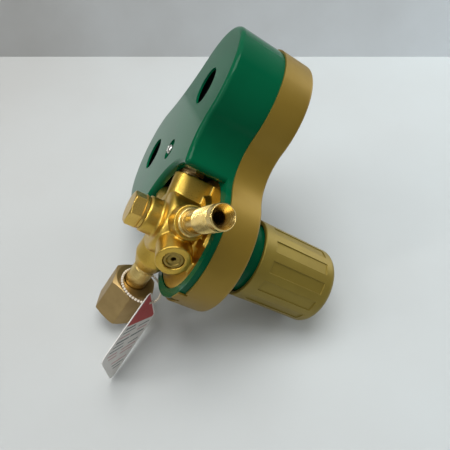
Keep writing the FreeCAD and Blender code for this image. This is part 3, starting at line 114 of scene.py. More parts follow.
@dataclass(frozen=True)
class Axis:
    """A line that pieces are turned round, with its own frame: z runs along the line."""

    foot: Point
    way: Point

    def turn(self) -> Matrix:
        """The rotation from the line's frame to the knob's."""
        return Vector((0, 0, 1)).rotation_difference(Vector(self.way)).to_matrix()

    def placed(self, points: Array) -> Array:
        """Moves points, whose last axis is x, y, z, from the line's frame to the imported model's."""
        return (points @ np.array(self.turn()).T + np.array(self.foot) - SEAT) * MM


def port_axis(degrees: float) -> Axis:
    """The line of a port that leaves the knob axis in a direction of the XZ plane."""
    return Axis((0.0, PORT_DEPTH, 0.0), tuple(heading(degrees)))


KNOB_AXIS = Axis((0.0, 0.0, 0.0), BACKWARD)
INLET_AXIS, OUTLET_AXIS, RELIEF_AXIS = (port_axis(degrees) for degrees in (INLET, OUTLET, RELIEF))
SCREW_AXIS = Axis((0.0, 48.2, 54.0), BACKWARD)


def linear(code: str) -> tuple[float, float, float, float]:
    """Turns an sRGB colour of six hex digits to linear light, with an alpha of 1."""
    parts = np.array([int(code[i : i + 2], 16) for i in (0, 2, 4)]) / 255
    return (*np.where(parts <= 0.04045, parts / 12.92, ((parts + 0.055) / 1.055) ** 2.4).tolist(), 1.0)


def settled(thing: Any, **settings) -> Any:
    """Sets a thing's properties.

    Args:
        thing: a node, modifier or block of data.
        **settings: its properties.

    Returns:
        The thing.
    """
    for name, value in settings.items():
        setattr(thing, name, value)
    return thing


def fed(node: Node, inputs: dict) -> Node:
    """Feeds a node.

    Args:
        node: the node.
        inputs: input name or number to a value, or to the socket that feeds it.

    Returns:
        The node.
    """
    for name, value in inputs.items():
        if isinstance(value, Socket):
            node.id_data.links.new(value, node.inputs[name])
        else:
            node.inputs[name].default_value = value
    return node


def add(tree: Tree, kind: str, inputs: Optional[dict] = None, **settings) -> Node:
    """Adds a node of a kind, the word after ShaderNode, with its inputs and own properties."""
    return fed(settled(tree.nodes.new("ShaderNode" + kind), **settings), inputs or {})


def worked(tree: Tree, operation: str, *values: float | Socket) -> Socket:
    """Adds a maths node that works on values or sockets, and gives its result."""
    return add(tree, "Math", dict(enumerate(values)), operation=operation).outputs["Value"]


def ranged(tree: Tree, value: Socket, source: Span, target: Span = (0.0, 1.0), **settings) -> Socket:
    """Maps a value from the source range to the target range."""
    ends = dict(zip(("From Min", "From Max", "To Min", "To Max"), source + target))
    return add(tree, "MapRange", {"Value": value, **ends}, **settings).outputs["Result"]


def blended(tree: Tree, share: Socket, first: str, second: str, **settings) -> Socket:
    """Mixes two hex colours by a share."""
    inputs = {0: share, 6: linear(first), 7: linear(second)}
    return add(tree, "Mix", inputs, data_type="RGBA", **settings).outputs[2]


@dataclass(frozen=True)
class Finish:
    """One material: what it is made of and how its surface was left.

    patch is the size of its tonal patches, grain the spacing of its fine relief and
    relief the depth of that relief, all in millimetres. A turned surface has fine rings
    round the piece's axis; the others have an even grain.
    """

    name: str
    slot: Slot
    colour: str
    second: str
    metallic: float
    roughness: float
    spread: float = 0.08
    patch: float = 9.0
    grain: float = 0.6
    relief: float = 0.004
    turned: bool = False
    wear: float = 0.5
    alpha: float = 1.0
    specular: float = 0.5
    ior: float = 1.5

    def relief_field(self, tree: Tree, local: Socket) -> Socket:
        """The height pattern of the surface.

        Rings depend only on the distance from the axis and the place along it, so a noise
        read at that pair draws them.

        Args:
            tree: the node tree.
            local: coordinates in the axis's frame.

        Returns:
            A socket between 0 and 1.
        """
        if self.turned:
            parts = add(tree, "SeparateXYZ", {"Vector": local}).outputs
            flat = add(tree, "CombineXYZ", {"X": parts["X"], "Y": parts["Y"]}).outputs["Vector"]
            reach = add(tree, "VectorMath", {0: flat}, operation="LENGTH").outputs["Value"]
            local = add(tree, "CombineXYZ", {"X": reach, "Y": parts["Z"]}).outputs["Vector"]
        inputs = {"Vector": local, "Scale": 1 / (self.grain * MM), "Detail": 3.0, "Roughness": 0.6}
        return add(tree, "TexNoise", inputs).outputs["Fac"]

    def made(self, axis: Axis = KNOB_AXIS, suffix: str = "") -> Material:
        """Builds the material, or gives the one that was built before.

        Args:
            axis: the axis that rings follow.
            suffix: added to the material's name where one finish is made for several axes.

        Returns:
            The material.
        """
        known = bpy.data.materials.get(self.name + suffix)
        if known:
            return known
        material = bpy.data.materials.new(self.name + suffix)
        material.use_nodes = True
        tree = material.node_tree
        # The object's coordinates in the axis's frame.
        place = add(tree, "TexCoord").outputs["Object"]
        inputs = {"Vector": place, "Location": axis.placed(np.zeros(3)), "Rotation": axis.turn().to_euler()}
        local = add(tree, "Mapping", inputs, vector_type="TEXTURE").outputs["Vector"]
        inputs = {"Vector": local, "Scale": 1 / (self.patch * MM), "Detail": 4.0}
        patches = add(tree, "TexNoise", inputs).outputs["Fac"]
        relief = self.relief_field(tree, local)
        share = ranged(tree, patches, (0.35, 0.68), (0.0, self.wear), interpolation_type="SMOOTHSTEP")
        roughness = (self.roughness - self.spread / 2, self.roughness + self.spread / 2)
        bump = {"Height": relief, "Strength": 1.0, "Distance": self.relief * MM}
        inputs = {
            "Base Color": blended(tree, share, self.colour, self.second),
            "Roughness": ranged(tree, relief, (0.3, 0.7), roughness),
            "Normal": add(tree, "Bump", bump).outputs["Normal"],
            "Metallic": self.metallic,
            "Alpha": self.alpha,
            "Specular IOR Level": self.specular,
            "IOR": self.ior,
        }
        fed(tree.nodes["Principled BSDF"], inputs)
        return material


# Each finish: name, slot, two colours, metallic, roughness and its spread, patch, grain, relief.
# Gold lacquer sprayed on aluminium: half metallic and satin, with a fine flake.
GOLD_LACQUER = Finish(
    "gold lacquer on aluminium", Slot.GOLD_COVER, "8F7427", "866B1F", 0.55, 0.42, 0.1, 26, 0.35, 0.006
)
# The same gold on the moulded knob, a little duller.
GOLD_KNOB = Finish(
    "gold lacquer on moulded nylon", Slot.GOLD_KNOB, "87752B", "7E6B25", 0.5, 0.48, 0.1, 18, 0.4, 0.01
)
# Glossy moulded ABS: deep green, hardly any texture.
GREEN_ABS = Finish(
    "green glossy ABS", Slot.GREEN, "005233", "00482D", 0.0, 0.1, 0.03, 30, 1.6, 0.005, specular=0.1, ior=1.53
)
# Hot forged brass, tumbled: soft orange-peel skin and darker, warmer patches.
FORGED_BRASS = Finish(
    "forged brass", Slot.BRASS, "D0AE50", "BF9A40", 1.0, 0.33, 0.14, 9, 0.7, 0.012, wear=0.6
)
# Brass turned on a lathe: bright, with fine rings round the axis.
TURNED_BRASS = Finish(
    "turned brass", Slot.BRASS, "DEC37E", "CCAE64", 1.0, 0.26, 0.16, 8, 0.25, 0.012, turned=True
)
# Hexagon bar brass as drawn: duller.
DRAWN_BRASS = Finish("drawn brass bar", Slot.BRASS, "AE9464", "998054", 1.0, 0.46, 0.14, 10, 0.3, 0.01)
# The same bar, polished: brighter and yellower.
POLISHED_BRASS = Finish("polished brass bar", Slot.BRASS, "D6B45E", "C49F49", 1.0, 0.3, 0.1, 10, 0.3, 0.006)
# Turned brass, darker and more olive than the other turned brass, and dull.
CAP_BRASS = Finish(
    "dark olive turned brass", Slot.BRASS, "9C8445", "7E6A34", 1.0, 0.34, 0.14, 4, 0.25, 0.012,
    turned=True,
)
PLATED_STEEL = Finish(
    "zinc plated steel", Slot.STEEL, "C9C9C4", "B4B4AE", 1.0, 0.24, 0.12, 4, 0.3, 0.008, turned=True
)
# Stamped stainless gauge case, brushed round.
BRUSHED_STEEL = Finish(
    "brushed stainless steel", Slot.STEEL, "BDBCB6", "A9A8A2", 1.0, 0.32, 0.16, 12, 0.3, 0.01,
    turned=True,
)
# Moulded black ABS with a fine spark-eroded texture.
BLACK_ABS = Finish("black textured ABS", Slot.TRIM, "17191A", "1E2022", 0.0, 0.5, 0.12, 14, 0.5, 0.03)
NITRILE = Finish("nitrile rubber", Slot.RUBBER, "121212", "1A1A19", 0.0, 0.62, 0.1, 5, 0.4, 0.02)
DIAL_ENAMEL = Finish("white dial enamel", Slot.DIAL, "ECEBE6", "E4E3DC", 0.0, 0.42, 0.05, 16, 0.8)
BLACK_INK = Finish("black printing ink", Slot.POINTER, "141414", "1C1C1C", 0.0, 0.55, 0.05, 6, 0.6)
RED_INK = Finish("red printing ink", Slot.POINTER, "A8231D", "971F1A", 0.0, 0.5, 0.05, 6, 0.6)
# Polycarbonate lens: clear and slightly soft in its shine.
CLEAR_LENS = Finish(
    "clear polycarbonate", Slot.LENS, "FFFFFF", "FBFDFD", 0.0, 0.05, 0.02, 20, 3, 0.002, alpha=0.05, ior=1.585
)
# Coated card: off-white, matt, with a soft fibre.
CARD = Finish("coated card", Slot.CARD, "D9D6D1", "CFCBC6", 0.0, 0.6, 0.1, 8, 0.4, 0.008)
CARD_RED = Finish("red ink on card", Slot.CARD, "B23A38", "A63330", 0.0, 0.55, 0.06, 5, 0.5)
CARD_GREY = Finish("grey ink on card", Slot.CARD, "6E7472", "7C8280", 0.0, 0.6, 0.06, 3, 0.5)
CARD_PINK = Finish("pink ink on card", Slot.CARD, "B98A8A", "C49A98", 0.0, 0.6, 0.06, 3, 0.5)
# Ball chain of painted steel: ivory, a little shiny.
IVORY_BEADS = Finish("ivory bead chain", Slot.BEADS, "DDD3C2", "CFC4B2", 0.0, 0.32, 0.08, 3, 0.4)
# The chain's wire: the same steel, in the chain's slot.
CHAIN_WIRE = replace(PLATED_STEEL, slot=Slot.BEADS)


def rounded(corners: Profile, steps: int = 5, closed: bool = True) -> Array:
    """Rounds the corners of a profile.

    Each corner is (radius, height) or (radius, height, rounding). A corner is replaced by
    a quadratic curve from one side to the other, its ends the rounding away from it.

    Args:
        corners: the profile's corners.
        steps: points on each rounded corner.
        closed: whether the last corner joins the first.

    Returns:
        Array of (radius, height) points.
    """
    points = np.array([corner[:2] for corner in corners], float)
    count = len(points)
    out = []
    for index, corner in enumerate(corners):
        here = points[index]
        amount = corner[2] if len(corner) > 2 else 0.0
        if amount <= 0 or (not closed and index in (0, count - 1)):
            out.append(here[None])
            continue
        before = points[index - 1] - here
        after = points[(index + 1) % count] - here
        start, end = (
            here + way / np.linalg.norm(way) * min(amount, np.linalg.norm(way) * 0.49)
            for way in (before, after)
        )
        t = np.linspace(0, 1, steps)[:, None]
        out.append((1 - t) ** 2 * start + 2 * t * (1 - t) * here + t**2 * end)
    return np.concatenate(out)


def divided(line: Array, longest: float, closed: bool = True) -> Array:
    """Splits the runs of a line.

    Args:
        line: array of points.
        longest: the length that no run passes.
        closed: whether the last point joins the first.

    Returns:
        Array of points.
    """
    following = np.roll(line, -1, 0) if closed else line[1:]
    pieces = []
    for start, end in zip(line, following):
        parts = max(1, math.ceil(float(np.linalg.norm(end - start)) / longest))
        t = np.arange(parts)[:, None] / parts
        pieces.append(start + (end - start) * t)
    if not closed:
        pieces.append(line[-1:])
    return np.concatenate(pieces)


def linked(name: str, data: bpy.types.ID) -> Piece:
    """Makes an object from its data and links it to the scene.

    Args:
        name: the object's name.
        data: its mesh, camera or lamp.

    Returns:
        The object.
    """
    made = bpy.data.objects.new(name, data)
    bpy.context.scene.collection.objects.link(made)
    return made


def dress(
    piece: Piece, finish: Finish, body: str = REGULATOR, suffix: str = "", axis: Axis = KNOB_AXIS
) -> None:
    """Gives a piece its material and body, and reports it.

    Args:
        piece: the new object.
        finish: its finish.
        body: the body that it moves with.
        suffix: the ending of its material's name, where its rings follow the axis.
        axis: the piece's own axis.
    """
    piece.data.materials.clear()
    piece.data.materials.append(finish.made(axis if suffix else KNOB_AXIS, suffix))
    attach(piece, body)
    LOG.info("%s: %d faces on %s", piece.name, len(piece.data.polygons), body)


def shaded(mesh: Mesh, angle: float = 32.0) -> None:
    """Smooths a mesh except where its faces meet at more than an angle.

    Args:
        mesh: the mesh.
        angle: the angle in degrees.
    """
    mesh.polygons.foreach_set("use_smooth", np.ones(len(mesh.polygons), bool))
    mesh.set_sharp_from_angle(angle=math.radians(angle))
    mesh.update()


def sealed(mesh: Mesh, gap: float = 1e-7, thin: float = 0.0, outward: bool = True) -> None:
    """Merges doubled points of a mesh and, as asked, drops thin faces and turns all outwards.

    Args:
        mesh: the mesh.
        gap: how close two points are that become one, in metres.
        thin: the size below which a face is dropped, or 0 to keep all.
        outward: whether the faces are turned outwards.
    """
    work = bmesh.new()
    work.from_mesh(mesh)
    bmesh.ops.remove_doubles(work, verts=work.verts, dist=gap)
    if thin:
        bmesh.ops.dissolve_degenerate(work, edges=work.edges, dist=thin)
    if outward:
        bmesh.ops.recalc_face_normals(work, faces=work.faces)
    work.to_mesh(mesh)
    work.free()


def grid_faces(rows: int, columns: int, wrap_rows: bool, wrap_columns: bool) -> Array:
    """The quads of a grid of points, each as four point numbers.

    Args:
        rows: number of rows.
        columns: number of columns.
        wrap_rows: whether the last row joins the first.
        wrap_columns: whether the last column joins the first.

    Returns:
        Array of quads.
    """
    i = np.arange(rows if wrap_rows else rows - 1)[:, None]
    j = np.arange(columns if wrap_columns else columns - 1)[None]
    i2, j2 = (i + 1) % rows, (j + 1) % columns
    quads = np.stack([i * columns + j, i * columns + j2, i2 * columns + j2, i2 * columns + j], -1)
    return quads.reshape(-1, 4)


def repeated(faces: Array, count: int, points: int) -> Array:
    """The quads of a count of equal shapes, from those of the first and its number of points."""
    return (faces[None] + np.arange(count)[:, None, None] * points).reshape(-1, 4)


def make(
    name: str, node: Optional[str], points: Array, faces: Array | list, finish: Finish, suffix: str = "",
    body: str = REGULATOR, axis: Axis = KNOB_AXIS, angle: float = 32.0,
) -> None:
    """Makes a sealed, shaded piece, puts it in a node's place and dresses it.

    Args:
        name: the piece's name.
        node: the CAD node that it stands for, if any.
        points: array of points in metres.
        faces: point numbers of each face.
        finish: its finish.
        suffix: the ending of its material's name, where its rings follow the axis.
        body: the body that it moves with.
        axis: the piece's own axis.
        angle: the sharpness angle in degrees.
    """
    mesh = bpy.data.meshes.new(name)
    faces = faces.tolist() if isinstance(faces, Array) else faces
    mesh.from_pydata(points.reshape(-1, 3).tolist(), [], faces)
    sealed(mesh)
    shaded(mesh, angle)
    piece = linked(name, mesh)
    if node:
        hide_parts(node)
    dress(piece, finish, body, suffix, axis)


def bar_faces(count: int) -> list[list[int]]:
    """The faces of a bar with closed ends and a count of points along each of its four edges."""
    ends = [[0, 1, 2, 3], [4 * count - 1, 4 * count - 2, 4 * count - 3, 4 * count - 4]]
    return grid_faces(count, 4, False, True).tolist() + ends


def lathe(
    name: str, node: Optional[str], axis: Axis, corners: Profile, finish: Finish, suffix: str = "",
    body: str = REGULATOR, columns: int = 96, longest: float = math.inf,
    shape: Optional[Shaper] = None, closed: bool = True,
) -> None:
    """Turns a rounded profile round an axis, puts it in a node's place and dresses it.

    A point of the surface is (r cos a, r sin a, z), where r and z come from the profile
    and may be changed by the shape function at each angle a.

    Args:
        name: the new piece's name.
        node: the CAD node that it stands for, if any.
        axis: the line it is turned round.
        corners: the profile's corners, as rounded() takes them.
        finish: its finish.
        suffix: the ending of its material's name, where its rings follow the axis.
        body: the body that it moves with.
        columns: steps round the axis.
        longest: longest run of the profile that is left whole.
        shape: takes angle, radius and height arrays and gives radius and height.
        closed: whether the profile is a closed loop; otherwise its ends are on the axis.
    """
    profile = divided(rounded(corners, closed=closed), longest, closed)
    around = np.arange(columns) * 2 * math.pi / columns
    angles, reach = np.broadcast_arrays(around[None], profile[:, 0][:, None])
    height = np.broadcast_to(profile[:, 1][:, None], reach.shape)
    if shape:
        reach, height = shape(angles, reach, height)
    points = np.stack([reach * np.cos(angles), reach * np.sin(angles), height], -1)
    faces = grid_faces(len(profile), columns, closed, True)
    make(name, node, axis.placed(points), faces, finish, suffix, body, axis)


def soft_step(value: Array, edge: float, blend: float) -> Array:
    """Rises from 0 to 1 round an edge, over a blend width, as 3t² - 2t³."""
    t = np.clip((value - edge) / blend + 0.5, 0, 1)
    return t * t * (3 - 2 * t)


def corner_reach(flats: float) -> float:
    """How far the corners of a hexagon reach, by its width across the flats."""
    return flats / 2 / math.cos(math.radians(30))


def hexagon_reach(angles: Array, flats: float, turn: float) -> Array:
    """How far a hexagon with softened corners reaches at each angle.

    A flat at distance d is reached at d / cos(angle from its normal). The six are joined
    by a sum of high powers, which takes the sharp tip off each corner.

    Args:
        angles: angles in radians.
        flats: width across the flats.
        turn: direction of a corner in degrees.

    Returns:
        The reach at each angle.
    """
    normals = np.radians(turn + 30 + 60 * np.arange(6))
    nearness = np.clip(np.cos(angles[..., None] - normals), 0, None) / (flats / 2)
    return (nearness**90).sum(-1) ** (-1 / 90)


def threaded(pitch: float, depth: float, start: float, end: float, radius: float) -> Shaper:
    """A shape function that cuts a thread.

    The radius gains depth times a triangle wave of (height / pitch - angle / full turn),
    faded at both ends, wherever the profile has the radius that is threaded.

    Args:
        pitch: advance in one turn.
        depth: height of the thread, negative for one inside a bore.
        start: where the thread begins.
        end: where it ends.
        radius: the radius that is threaded.

    Returns:
        The shape function.
    """

    def shape(angles: Array, reach: Array, height: Array) -> Surface:
        """Cuts the thread into the radius.

        Args:
            angles: angles round the axis.
            reach: distances from it.
            height: heights along it.

        Returns:
            The new reach and the height.
        """
        phase = (height / pitch - angles / (2 * math.pi)) % 1.0
        wave = np.clip((1 - 2 * np.abs(phase * 2 - 1)) * 1.3, -1, 1)
        window = soft_step(height, start, pitch) * (1 - soft_step(height, end, pitch))
        chosen = np.abs(reach - radius) <= 0.01
        return reach + np.where(chosen, wave * window * depth / 2, 0.0), height

    return shape


def cad_copy(node: str, name: str, **sealing) -> Piece:
    """Puts a merged copy of a CAD node, without its own normals, in that node's place.

    Args:
        node: the CAD node.
        name: the new piece's name.
        **sealing: how sealed() treats the mesh.

    Returns:
        The new piece.
    """
    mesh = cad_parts[node].data.copy()
    mesh.name = name
    if mesh.attributes.get("custom_normal"):
        mesh.attributes.remove(mesh.attributes["custom_normal"])
    sealed(mesh, outward=False, **sealing)
    piece = linked(name, mesh)
    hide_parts(node)
    return piece


def smooth_copy(node: str, name: str, finish: Finish, body: str = REGULATOR, bevel: float = 0.0) -> None:
    """Puts a copy of a CAD node, with soft shading, in that node's place.

    Args:
        node: the CAD node.
        name: the new piece's name.
        finish: its finish.
        body: the body that it moves with.
        bevel: width of the small round put on its edges, in millimetres.
    """
    piece = cad_copy(node, name, gap=2e-6, thin=1e-6)
    shaded(piece.data, 28.0)
    if bevel > 0:
        rounds = piece.modifiers.new("small rounds", "BEVEL")
        settled(rounds, width=bevel * MM, segments=2, limit_method="ANGLE", angle_limit=math.radians(35))
    settled(piece.modifiers.new("even shading", "WEIGHTED_NORMAL"), keep_sharp=True, weight=80)
    dress(piece, finish, body)


@dataclass(frozen=True)
class Covers:
    """The gold front cover, the green back cover and the screw between them."""

    head_radius: float = 3.3
    head_rise: float = 2.6
    shank_radius: float = 1.9
    shank_length: float = 15.0
    recess_depth: float = 1.5
    recess_turn: float = 25.0
    slot_half: float = 0.42
    edge: float = 0.7

    def build(self) -> None:
        """Builds the two covers and the screw."""
        smooth_copy("front_cover", "front_cover_shell", GOLD_LACQUER, bevel=self.edge)
        smooth_copy("back_cover", "back_cover_shell", GREEN_ABS)
        self.build_screw()

    def build_screw(self) -> None:
        """Builds the pan-head screw, its cross recess pressed into the top of the head."""
        head, rise, shank, foot = self.head_radius, self.head_rise, self.shank_radius, -self.shank_length

        def recess(angles: Array, reach: Array, height: Array) -> Surface:
            """Sinks two crossed slots, deepest at the middle.

            Args:
                angles: angles round the screw.
                reach: distances from its axis.
                height: heights along it.

            Returns:
                The reach and the new height.
            """
            turned = angles + math.radians(self.recess_turn)
            near = np.minimum(np.abs(reach * np.sin(turned)), np.abs(reach * np.cos(turned)))
            slot = 1 - soft_step(near, self.slot_half, 0.3)
            fade = 1 - soft_step(reach, head * 0.6, 0.5)
            sink = slot * fade * self.recess_depth * (1 - reach / (head * 1.4))
            return reach, height - np.where(height > rise * 0.5, sink, 0.0)

        lathe(
            "cover_screw_head", "cover_screw", SCREW_AXIS,
            (
                (0.0, foot), (shank, foot, 0.5), (shank, 0.0), (head, 0.0, 0.3), (head, rise * 0.55, 0.9),
                (head * 0.55, rise, 1.2), (0.0, rise),
            ),
            PLATED_STEEL, " screw", longest=0.22, shape=recess, closed=False,
        )


@dataclass(frozen=True)
class Forging:
    """The forged brass body, with the soft corners that a forging die leaves."""

    voxel: float = 0.56
    smoothing: int = 2

    def build(self) -> None:
        """Builds the body from the CAD solid, its corners melted by a fine remesh."""
        piece = cad_copy("body", "forged_body")
        skin = piece.modifiers.new("even skin", "REMESH")
        settled(skin, mode="VOXEL", voxel_size=self.voxel * MM, use_smooth_shade=True)
        settled(piece.modifiers.new("soft corners", "SMOOTH"), factor=0.5, iterations=self.smoothing)
        dress(piece, FORGED_BRASS)


@dataclass(frozen=True)
class RearPlug:
    """The hexagon plug in the rear boss and the sealing ring under it."""

    flats: float = 19.0
    hexagon_turn: float = 12.0
    face: float = 54.8
    rise: float = 8.7
    skirt: float = 10.0
    skirt_bore: float = 5.6
    thread_radius: float = 7.95
    collar_radius: float = 10.5
    ring_radius: float = 10.1
    ring_thick: float = 0.8

    def build(self) -> None:
        """Builds the plug and its ring."""
        face, top = self.face, self.face + self.rise
        foot = face - self.ring_thick - self.skirt
        corner = corner_reach(self.flats) + 0.5

        def hexagon(angles: Array, reach: Array, height: Array) -> Surface:
            """Keeps the head inside the hexagon."""
            limit = hexagon_reach(angles, self.flats, self.hexagon_turn)
            return np.where(height > face + 1.22, np.minimum(reach, limit), reach), height

        lathe(
            "hexagon_plug", "rear_plug", KNOB_AXIS,
            (
                (0.0, foot + 10.0), (2.3, foot + 10.0), (self.skirt_bore, face - 1.8),
                (self.skirt_bore, foot), (self.thread_radius, foot), (self.thread_radius, face),
                (self.collar_radius - 0.3, face), (self.collar_radius - 0.3, face - 0.7),
                (self.collar_radius, face - 0.7, 0.1), (self.collar_radius, face + 1.2, 0.3),
                (corner, face + 1.25), (corner, top - 1.4, 0.3), (self.flats / 2 - 0.3, top, 0.3),
                (0.0, top),
            ),
            POLISHED_BRASS, columns=144, longest=0.5, shape=hexagon, closed=False,
        )
        low, out = face - self.ring_thick, self.ring_radius
        ring = ((8.0, low, 0.2), (out, low, 0.25), (out, face, 0.25), (8.0, face, 0.2))
        lathe("plug_ring", "plug_gasket", KNOB_AXIS, ring, NITRILE)


@dataclass(frozen=True)
class InletUnion:
    """The inlet nipple, its washer, and the union nut that turns on it."""

    flats: float = 28.6
    nut_start: float = 56.0
    nut_end: float = 87.0
    nut_turn: float = 5.0
    bore: float = 7.9
    relief: float = 11.3
    bearing: float = 62.2
    thread: float = 10.8
    thread_pitch: float = 1.8
    thread_start: float = 71.5
    shank: float = 7.5
    stub: float = 5.95
    collar: float = 9.6
    nose: float = 69.6
    nose_bore: float = 3.4
    passage: float = 2.4

    def build(self) -> None:
        """Builds the nipple, nut and washer."""
        self.build_nipple()
        self.build_nut()
        nose, end = self.nose, self.nose + 1.6
        washer = ((4.2, nose, 0.2), (8.2, nose, 0.2), (8.2, end, 0.3), (4.2, end, 0.3))
        lathe("sealing_washer", "inlet_washer", INLET_AXIS, washer, NITRILE)

    def build_nipple(self) -> None:
        """Builds the turned nipple with a faint groove by the body."""
        groove = self.shank - 0.35
        lathe(
            "turned_nipple", "inlet_nipple", INLET_AXIS,
            (
                (self.passage, 28.3), (self.stub, 28.3, 0.4), (self.stub, 38.0), (self.shank, 38.0, 0.3),
                (self.shank, 39.6, 0.1), (groove, 39.8, 0.1), (groove, 40.3, 0.1), (self.shank, 40.5, 0.1),
                (self.shank, self.bearing + 0.2), (self.collar, self.bearing + 0.2, 0.4),
                (self.collar, self.nose, 0.5), (self.nose_bore, self.nose, 0.2), (self.nose_bore, 57.6),
                (self.passage, 57.6),
            ),
            TURNED_BRASS, " inlet",
        )

    def build_nut(self) -> None:
        """Builds the union nut: a chamfered hexagon outside, a thread inside."""
        corner = corner_reach(self.flats) + 0.6
        start, end = self.nut_start, self.nut_end
        cut = threaded(self.thread_pitch, -1.0, self.thread_start + 1.1, end - 1.2, self.thread)

        def shape(angles: Array, reach: Array, height: Array) -> Surface:
            """Cuts the thread inside and keeps the outside within the hexagon."""
            reach, height = cut(angles, reach, height)
            return np.minimum(reach, hexagon_reach(angles, self.flats, self.nut_turn)), height

        lathe(
            "union_nut", "inlet_nut", INLET_AXIS,
            (
                (self.bore, start, 0.3), (13.4, start, 0.4), (corner, start + 2.1, 0.5),
                (corner, end - 1.1, 0.4), (14.8, end, 0.4), (self.thread + 1.5, end, 0.2),
                (self.thread, end - 1.4), (self.thread, self.thread_start),
                (self.relief, self.thread_start - 0.1), (self.relief, self.bearing),
                (self.bore, self.bearing, 0.3),
            ),
            DRAWN_BRASS, " nut", "inlet_nut", columns=180, longest=0.3, shape=shape,
        )


@dataclass(frozen=True)
class OutletFitting:
    """The outlet fitting: a collar, a plain neck, a thread and the seat cone in its tip."""

    bore: float = 3.2
    stub: float = 5.95
    collar: float = 8.8
    crest: float = 7.14
    neck: float = 6.55
    pitch: float = 1.41
    face: float = 29.5
    tip: float = 72.0

    def build(self) -> None:
        """Builds the fitting."""
        root, land = self.crest - 0.4, self.crest - 0.1
        lathe(
            "outlet_tail", "outlet_fitting", OUTLET_AXIS,
            (
                (self.bore, 19.8), (self.stub, 19.8, 0.4), (self.stub, self.face),
                (self.collar, self.face, 0.3), (self.collar, 31.9, 0.3), (self.collar - 0.8, 32.7, 0.2),
                (self.neck, 32.7, 0.2), (self.neck, 35.2, 0.3), (root, 35.8, 0.2), (root, 66.2, 0.2),
                (land, 66.6, 0.2), (land, 71.2, 0.3), (self.crest - 0.6, self.tip, 0.2),
                (6.3, self.tip, 0.1), (self.bore, 66.6, 0.2),
            ),
            TURNED_BRASS, " outlet", longest=0.2, shape=threaded(self.pitch, 0.8, 46.0, 66.0, root),
        )


@dataclass(frozen=True)
class ReliefCap:
    """The vented cap screwed into the relief boss."""

    foot: float = 27.8
    top: float = 32.2
    radius: float = 6.15
    vent: float = 1.3

    def build(self) -> None:
        """Builds the cap: a flat rim, a dished middle and the vent hole."""
        lathe(
            "vented_cap", "relief_cap", RELIEF_AXIS,
            (
                (self.vent, self.foot), (self.radius, self.foot, 0.2), (self.radius, self.top - 0.5, 0.2),
                (self.radius - 0.5, self.top, 0.2), (4.2, self.top, 0.25), (3.5, self.top - 0.8, 0.25),
                (1.7, self.top - 0.8, 0.15), (self.vent, self.top - 1.2, 0.1),
            ),
            CAP_BRASS, " relief", columns=72, longest=0.4,
        )


@dataclass(frozen=True)
class GripKnob:
    """The gold knob with its twelve recessed panels, the disc in its front, and the neck."""

    end: float = -76.8
    cap_radius: float = 16.0
    cap_thick: float = 2.0
    edge: float = 0.3
    neck: float = 23.4
    neck_end: float = -44.0
    neck_bore: float = 17.0
    flange: float = 36.5

    def build(self) -> None:
        """Builds the knob, its disc and the neck of the bonnet."""
        smooth_copy("knob", "grip_knob", GOLD_KNOB, "knob", self.edge)
        end, back = self.end, self.end + self.cap_thick
        disc = (
            (0.0, end + 0.6), (6.0, end + 0.6, 0.5), (7.2, end, 0.5),
            (self.cap_radius, end, 0.5), (self.cap_radius, back), (0.0, back),
        )
        lathe("knob_disc", "knob_cap", KNOB_AXIS, disc, GOLD_KNOB, body="knob", closed=False)
        self.build_neck()

    def build_neck(self) -> None:
        """Builds the green bonnet, of which only the neck is seen."""
        lathe(
            "bonnet_neck", "bonnet", KNOB_AXIS,
            (
                (self.flange, 6.5), (self.flange, -0.6, 0.6), (self.neck, -0.6, 0.4),
                (self.neck, self.neck_end + 4.0, 0.5), (self.neck - 3.0, self.neck_end, 0.5),
                (7.95, self.neck_end), (7.95, self.neck_end + 10.0), (self.neck_bore, self.neck_end + 10.0),
                (self.neck_bore, -0.6), (25.0, 3.5), (28.0, 5.5), (28.0, 6.5),
            ),
            GREEN_ABS, columns=128, longest=2.0,
        )


